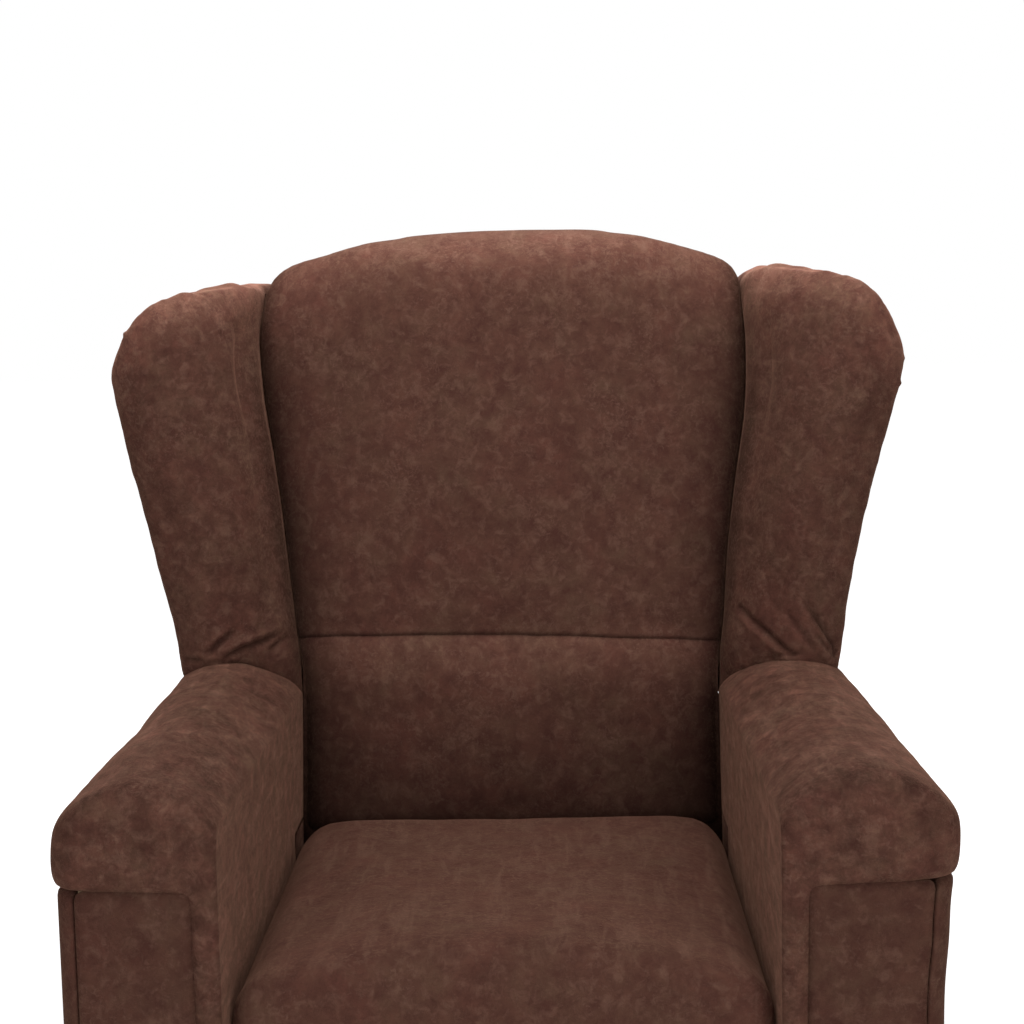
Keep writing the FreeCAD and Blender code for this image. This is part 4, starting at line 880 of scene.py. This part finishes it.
# The gusset's front edge, up the back and out of it, and the corners of the closing strips, off the middle,
# up and out.
GUSSET_FRONT = [(0.0, -0.004), (0.06, -0.004), (0.088, 0.054), (0.318, 0.050), (0.332, 0.004), (0.345, 0.004)]
gusset_side = 0.2387
gusset_turned_in = 0.222
gusset_rear = -0.066
gusset_slope = 0.002
gusset_thickness = 0.0006
TOP_CLOSING = [(0.225, 0.767, -0.044), (0.300, 0.767, -0.044), (0.300, 0.767, 0.008), (0.225, 0.767, 0.008)]
REAR_CLOSING = [
    (0.228, 0.347, -0.0515), (0.268, 0.347, -0.0515), (0.305, 0.772, -0.0515),
    (0.195, 0.772, -0.0515), (0.195, 0.735, -0.0515), (0.255, 0.735, -0.0515),
]
closing_thickness = 0.0008

# The strips inside the arms: from and to off the middle, along Y and up, and how dark their painted shade is.
ARM_STRIPS = {
    "skirt": ((0.2394, 0.2404), (0.080, 0.205), (0.368, 0.446), -0.6),
    "rear": ((0.2403, 0.2413), (0.140, 0.172), (0.446, 0.570), -1.4),
    "facing": ((0.2604, 0.2616), (-0.394, -0.240), (0.064, 0.372), -0.6),
}


# The back's shape. A pair is how much and how wide, or from where to where; a roll's is how far down and how
# much.
POST_TOP = (0.76, 0.79)
rear_face = -0.05
front_face = 0.095
SIDE_ROLL = (0.012, 0.034)
SIDE_ROLL_STARTS = (0.20, 0.40)
BACK_TOP_ROLL = (0.085, 0.034)
SEAM_CUTS = (-0.006, -0.003, -0.0015, 0, 0.0015, 0.003, 0.006)
seam_depth = 0.0050
seam_width = 0.0022
SEAM_HOLLOW = (0.0028, 0.004, 0.020)
LUMBAR_SWELL = (0.0040, -0.045, 0.030)
PUCKERS = (0.0006, 0.014)
pucker_length = 0.028
pucker_seed = 5

# Painted light and shade on the back: a highlight at its top and just below the seam, and shade lower on the
# lumbar, in the seam and beside the wings.
back_brighter = 0.05
BACK_TOP_HIGHLIGHT = (0.85, 0.080)
BACK_TOP_EDGE_SHADE = (0.45, 0.010)
lumbar_highlight = 0.30
lumbar_shade = -0.85
lumbar_shade_gradient = 6.5
lumbar_highlight_below = 0.018
SEAM_SHADE = (1.1, 0.0014)
CREASE_SHADOW = (1.2, 0.016)
CREASE_SHADE = (0.75, 0.045)
CREASE_SHADE_STARTS = (0.03, 0.20)

# A wing's shape, and the painted light and shade on it: a highlight along its top and shade beside the back.
wing_narrow = 0.055
wing_gain = 0.11
WING_WIDENS = (0.30, 0.62)
FACING_FRONT = (0.2, 0.6)
wing_crown = 0.012
wing_top_from = 0.6
WING_TOP_ROLL = (0.075, 0.030)
most_rolled = 0.55
VALLEY = (0.016, 0.014)
VALLEY_DEPTHS = (0, 0.04)
wing_brighter = 0.04
WING_TOP_HIGHLIGHT = (1.25, 0.075)
VALLEY_SHADE = (1.1, 0.010)
wing_strokes = 0.25

# An arm's painted shade, with streaks of nap along it and a painted highlight on its plainer front, and the
# painted highlight at the edges of arms and wings.
ARM_TURNS_FRONT = (0.15, 0.75)
arm_painted_shade = -0.24
arm_front_highlight = 0.25
arm_streak_nap = 0.10
arm_strokes = 0.62
arm_front_strokes = -0.3
STREAKS_DRAWN_OUT = (1, 0.28, 1)
streak_length = 0.017
blotch_length = 0.030
EDGE_FACING = (0.0, 0.35)
edge_highlight = 0.7

# How much darker the plain outer covers are, and the painted shade on the cloth that is turned in.
outside_darker = -0.2
wing_lining_shade = -0.6
arm_lining_shade = -1.2
gusset_shade = -1.4
top_closing_shade = -0.7
rear_closing_darker = -0.2

# A top edge is found in strips of this width and evened this often. A roll stops just before it is upright.
strip_width = 0.010
top_evenings = 6
steepest_roll = 0.98


# Shapes of the covers.
def crease_at(height):
    """How far from the middle the back and the wings meet, by height on the back."""
    return crease_low + crease_lean * np.clip((height - crease_starts) / crease_length, 0, 1)


def press_sides(piece, inner=None, outer=None):
    """Flattens a cover where it lies against its neighbours, no nearer the middle than inner and no further
    than outer."""
    points = points_of(piece)
    off = np.abs(points[:, 0])
    if inner is not None:
        off = np.maximum(off, inner)
    if outer is not None:
        off = np.minimum(off, outer)
    points[:, 0] = np.sign(points[:, 0]) * off
    move_points(piece, points)


def cut_across(piece, heights):
    """Cuts a cover's faces along level lines on the back, so that a seam can be pressed in."""
    made = bmesh.new()
    made.from_mesh(piece.data)
    for height in heights:
        cut_along(made, back_foot + up_back * height, up_back)
    made.to_mesh(piece.data)
    made.free()
    piece.data.update()


def strips_of(points):
    """Which strip across each point is in, how many strips there are, and the point's exact place in their
    row."""
    place = points[:, 0] / strip_width
    strip = np.round(place).astype(int)
    first = strip.min()
    return strip - first, strip.max() - first + 1, place - first


def below_top(points, height):
    """How far points lie below a piece's own top edge, which is found strip by strip across it and evened."""
    strip, count, place = strips_of(points)
    top = np.full(count, -beyond_all)
    np.maximum.at(top, strip, height)
    for _ in range(top_evenings):
        top[1:-1] = (top[:-2] + 2 * top[1:-1] + top[2:]) / 4
    return np.interp(place, np.arange(count), top) - height


def through_depth(points, depth, above):
    """How far points lie through a piece's own thickness, from 0 at its rear to 1 at its front, and how
    thick it is there. Both are found strip by strip across it, from what lies above only."""
    strip, count, place = strips_of(points)
    rear = np.full(count, beyond_all)
    front = -rear
    np.minimum.at(rear, strip[above], depth[above])
    np.maximum.at(front, strip[above], depth[above])
    known = front > rear
    middles = np.arange(count)[known]
    rear = np.interp(place, middles, rear[known])
    front = np.interp(place, middles, front[known])
    return np.clip((depth - rear) / (front - rear), 0, 1), front - rear


def rolled(below, reach, way):
    """How far a round edge falls back, by the distance below its top."""
    share = np.clip(1 - below / reach, 0, steepest_roll)
    return way * (1 - np.sqrt(1 - share ** 2))


def shape_back(piece):
    """The back: rolled edges beside the wings, one seam across with puckers, and a light unevenness."""
    cut_across(piece, [seam_height + step for step in SEAM_CUTS])
    points = points_of(piece)
    height = height_on_back(points)
    depth = depth_on_back(points)
    inside = crease_at(height) - np.abs(points[:, 0])
    rear = rear_face * rise(height, *POST_TOP)
    front = np.clip((depth - rear) / (front_face - rear), 0, 1)
    back_by = at_edge(inside, *SIDE_ROLL) * rise(height, *SIDE_ROLL_STARTS)
    back_by += rolled(below_top(points, height), *BACK_TOP_ROLL)
    step = height - seam_height
    size, middle, width = SEAM_HOLLOW
    back_by += seam_depth * np.exp(-np.abs(step) / seam_width) + size * hump(step, middle, width)
    size, middle, width = LUMBAR_SWELL
    back_by -= size * hump(step, middle, width)
    back_by += waves(points * np.array([1, 0, 0]), pucker_seed, pucker_length) * at_edge(step, *PUCKERS)
    back_by += uneven(points, seed=8, height=0.0011, length=0.16, fine_length=0.045)
    move_points(piece, points - (back_by * front)[:, None] * np.array(out_of_back))
    below = below_top(points, height)
    # Painted light and shade: a highlight at the top, light then shade down the lumbar, shade in the seam and
    # along the creases beside the wings.
    nap = back_brighter + at_edge(below, *BACK_TOP_HIGHLIGHT) - at_edge(below, *BACK_TOP_EDGE_SHADE)
    lumbar_light_and_shade = lumbar_highlight + lumbar_shade_gradient * (step + lumbar_highlight_below)
    nap += np.where(step < 0, np.clip(lumbar_light_and_shade, lumbar_shade, lumbar_highlight), 0)
    nap -= SEAM_SHADE[0] * np.exp(-np.abs(step) / SEAM_SHADE[1])
    nap -= at_edge(inside, *CREASE_SHADOW) + at_edge(inside, *CREASE_SHADE) * rise(below, *CREASE_SHADE_STARTS)
    lay_painted_light_and_nap(piece, nap)


def shape_wing(piece, seed):
    """A wing: crowned across its face, its top rolled back, turned in beside the back, and a light
    unevenness."""
    points = points_of(piece)
    height = height_on_back(points)
    off = np.abs(points[:, 0])
    crease = crease_at(height)
    across = (off - crease) / (wing_narrow + wing_gain * rise(height, *WING_WIDENS))
    face = rise(normals_of(piece) @ np.array(out_of_back), *FACING_FRONT)
    amount = face * wing_crown * np.sin(np.pi * np.clip(across, 0, 1))
    push(piece, amount + uneven(points, seed, height=0.0012, length=0.13, fine_length=0.04))
    below = below_top(points, height)
    depth = depth_on_back(points)
    share, thick = through_depth(points, depth, height > wing_top_from)
    back_by = share * np.minimum(rolled(below, *WING_TOP_ROLL), most_rolled * thick)
    valley, valley_width = VALLEY
    back_by += rise(depth, *VALLEY_DEPTHS) * valley * np.exp(-np.clip(off - crease, 0, None) / valley_width)
    move_points(piece, points_of(piece) - back_by[:, None] * np.array(out_of_back))
    # Painted light and shade: a highlight along the top and shade in the valley beside the back.
    nap = wing_brighter + at_edge(below, *WING_TOP_HIGHLIGHT) - at_edge(off - crease, *VALLEY_SHADE)
    lay_painted_light_and_nap(piece, nap, wing_strokes)


def shape_arm(piece, seed):
    """An arm: a light unevenness, as its filling lies, and a brushed nap, with painted shade over it and a
    painted highlight on its front.
    """
    points = points_of(piece)
    front = rise(-normals_of(piece)[:, 1], *ARM_TURNS_FRONT)
    push(piece, uneven(points, seed, height=0.0010, length=0.15, fine_length=0.045))
    streaks = waves(points * np.array(STREAKS_DRAWN_OUT), seed + 2, streak_length)
    streaks += waves(points, seed + 3, blotch_length)
    # Painted shade over the arm and a painted highlight on its front, over streaks of brushed nap.
    lay_painted_light_and_nap(piece, arm_painted_shade + arm_streak_nap * streaks + arm_front_highlight * front,
            arm_strokes + arm_front_strokes * front)


make_camera()
make_light()
make_floor()
finishes = make_materials()
finish_nodes(finishes)

# Covers, with faces of one of two sizes. The wings and arm pads are evened once more when they are shaped.
SIDES = {"left": 1, "right": -1}
WING_SEEDS = {"left": 21, "right": 31}
ARM_SEEDS = {"left": 41, "right": 51}
fine = 0.005
coarse = 0.006
shape_evenings = 4
back = cover_of("back_cushion_cover", ["upper_back_cushion", "lumbar_cushion"], fine, smoothing=8,
                fuller=0.0015)
seat = cover_of("seat_cushion_cover", ["seat_cushion"], coarse, smoothing=6, fuller=0.001)
footrest = cover_of("footrest_pad_cover", ["footrest_pad"], coarse, smoothing=4)
wings = {}
arm_pads = {}
for side in SIDES:
    wings[side] = cover_of(side + "_wing_cover", [side + "_wing_pad"], fine, smoothing=10, fuller=0.003)
    arm_pads[side] = cover_of(side + "_arm_top_cover", [side + "_arm_pad"], coarse, smoothing=12,
                              fuller=0.0036)
swell([back, seat, footrest, *wings.values(), *arm_pads.values()], pressure=4.0, cap=0.0035)
for piece in (back, seat, *wings.values(), *arm_pads.values()):
    shaped(piece, "SUBSURF", levels=1)

shape_back(back)
for side, wing in wings.items():
    shape_wing(wing, WING_SEEDS[side])
for side, pad in arm_pads.items():
    shape_arm(pad, ARM_SEEDS[side])
for piece in (*wings.values(), *arm_pads.values()):
    shaped(piece, "SMOOTH", factor=0.5, iterations=shape_evenings)
press_sides(back, outer=crease_at(height_on_back(points_of(back))) + crease_lap)
press_sides(seat, outer=back_side)

# Thin covers, and the cloth turned in under the wings and behind the arm pads.
THIN = {"smoothing": 3, "fuller": 0.0008}
linings = {}
arm_linings = {}
outers = {}
fronts = {}
for side, sign in SIDES.items():
    press_sides(wings[side], inner=crease_at(height_on_back(points_of(wings[side]))) - crease_lap)
    press_sides(arm_pads[side], inner=arm_side)
    inner_end = (Vector((sign * lining_end, 0, 0)), Vector((sign, 0, 0)))
    foot = (back_foot + up_back * wing_lining_top, up_back)
    tail = (Vector((0, arm_lining_front, 0)), Vector((0, -1, 0)))
    linings[side] = lining_of(side + "_wing_lining", side + "_wing_pad", [foot, inner_end])
    arm_linings[side] = lining_of(side + "_arm_lining", side + "_arm_pad", [tail, inner_end])
    outers[side] = cover_of(side + "_arm_outside_cover", [side + "_arm_outer_cover"], fine, **THIN)
    fronts[side] = cover_of(side + "_arm_front_panel", [side + "_arm_front_cover"], fine, **THIN)
    # Painted shade on the wing and arm linings; the outer covers and fronts are a little darker.
    lay_painted_light_and_nap(linings[side], wing_lining_shade)
    lay_painted_light_and_nap(arm_linings[side], arm_lining_shade)
    lay_painted_light_and_nap(outers[side], outside_darker)
    lay_painted_light_and_nap(fronts[side], outside_darker)
rear = cover_of("back_outside_cover", ["back_rear_cover"], fine, smoothing=3, fuller=0.001)
rear_panel = cover_of("rear_panel_cover", ["rear_panel"], fine, **THIN)

# Drawn over as the photograph shows them.
draw_over([back, *wings.values(), *linings.values()], BACK_PLACES + ARCH_PLACES, back_reach, ahead_of_posts)
draw_over([*arm_pads.values(), *arm_linings.values(), *outers.values(), *fronts.values()],
          ARM_PLACES + ARCH_PLACES, arm_reach, ahead_of_tail)
draw_over([back], SEAM_PLACES, seam_reach, ahead_of_posts)
press_sides(back, outer=np.where(height_on_back(points_of(back)) < back_side_until, back_side, 1.0))
# A painted highlight along the edges of the wings and arm pads, where they turn away from the camera.
for piece in (*wings.values(), *arm_pads.values()):
    paint_edge_highlight(piece, edge_highlight)
for side, sign in SIDES.items():
    press_sides(arm_pads[side], inner=arm_side)
    for places, width, depth in FOLDS[side]:
        fold(wings[side], places, width, depth)
    small_bumps(wings[side], BUMPS[side])
    dress(linings[side], "backrest", "faux_suede")
    press_sides(arm_linings[side], inner=arm_lining_side)
    dress(arm_linings[side], "base", "faux_suede")
    gusset = side_gusset(side + "_back_gusset", sign)
    strips = []
    for name, (offs, deeps, heights, nap) in ARM_STRIPS.items():
        strip = flat_strip(side + "_arm_inner_" + name, [sign * off for off in offs], deeps, heights)
        strips.append((strip, "base", nap))
    top_closing = back_closing(side + "_back_top_closing", sign, TOP_CLOSING)
    rear_closing = back_closing(side + "_back_rear_closing", sign, REAR_CLOSING)
    on_backrest = [(gusset, "backrest", gusset_shade), (top_closing, "backrest", top_closing_shade),
                   (rear_closing, "backrest", rear_closing_darker)]
    # Painted shade darkens the gusset, the top closing and the inner strips; the rear closing is a little
    # darker.
    for piece, body, nap in on_backrest + strips:
        lay_painted_light_and_nap(piece, nap)
        dress(piece, body, "faux_suede")

# The bodies that the covers ride on, and the nodes that they stand for.
dress(back, "backrest", "faux_suede", "upper_back_cushion", "lumbar_cushion", fill=0.8)
dress(seat, "seat", "faux_suede", "seat_cushion", fill=0.75)
dress(footrest, "footrest", "faux_suede", "footrest_pad", fill=0.6)
for side in SIDES:
    dress(wings[side], "backrest", "faux_suede", side + "_wing_pad", fill=0.7)
    dress(arm_pads[side], "base", "faux_suede", side + "_arm_pad", fill=0.7)
    dress(outers[side], "base", "faux_suede", side + "_arm_outer_cover")
    dress(fronts[side], "base", "faux_suede", side + "_arm_front_cover")
dress(rear, "backrest", "faux_suede", "back_rear_cover")
dress(rear_panel, "base", "faux_suede", "rear_panel")

scene.view_settings.view_transform = "Standard"
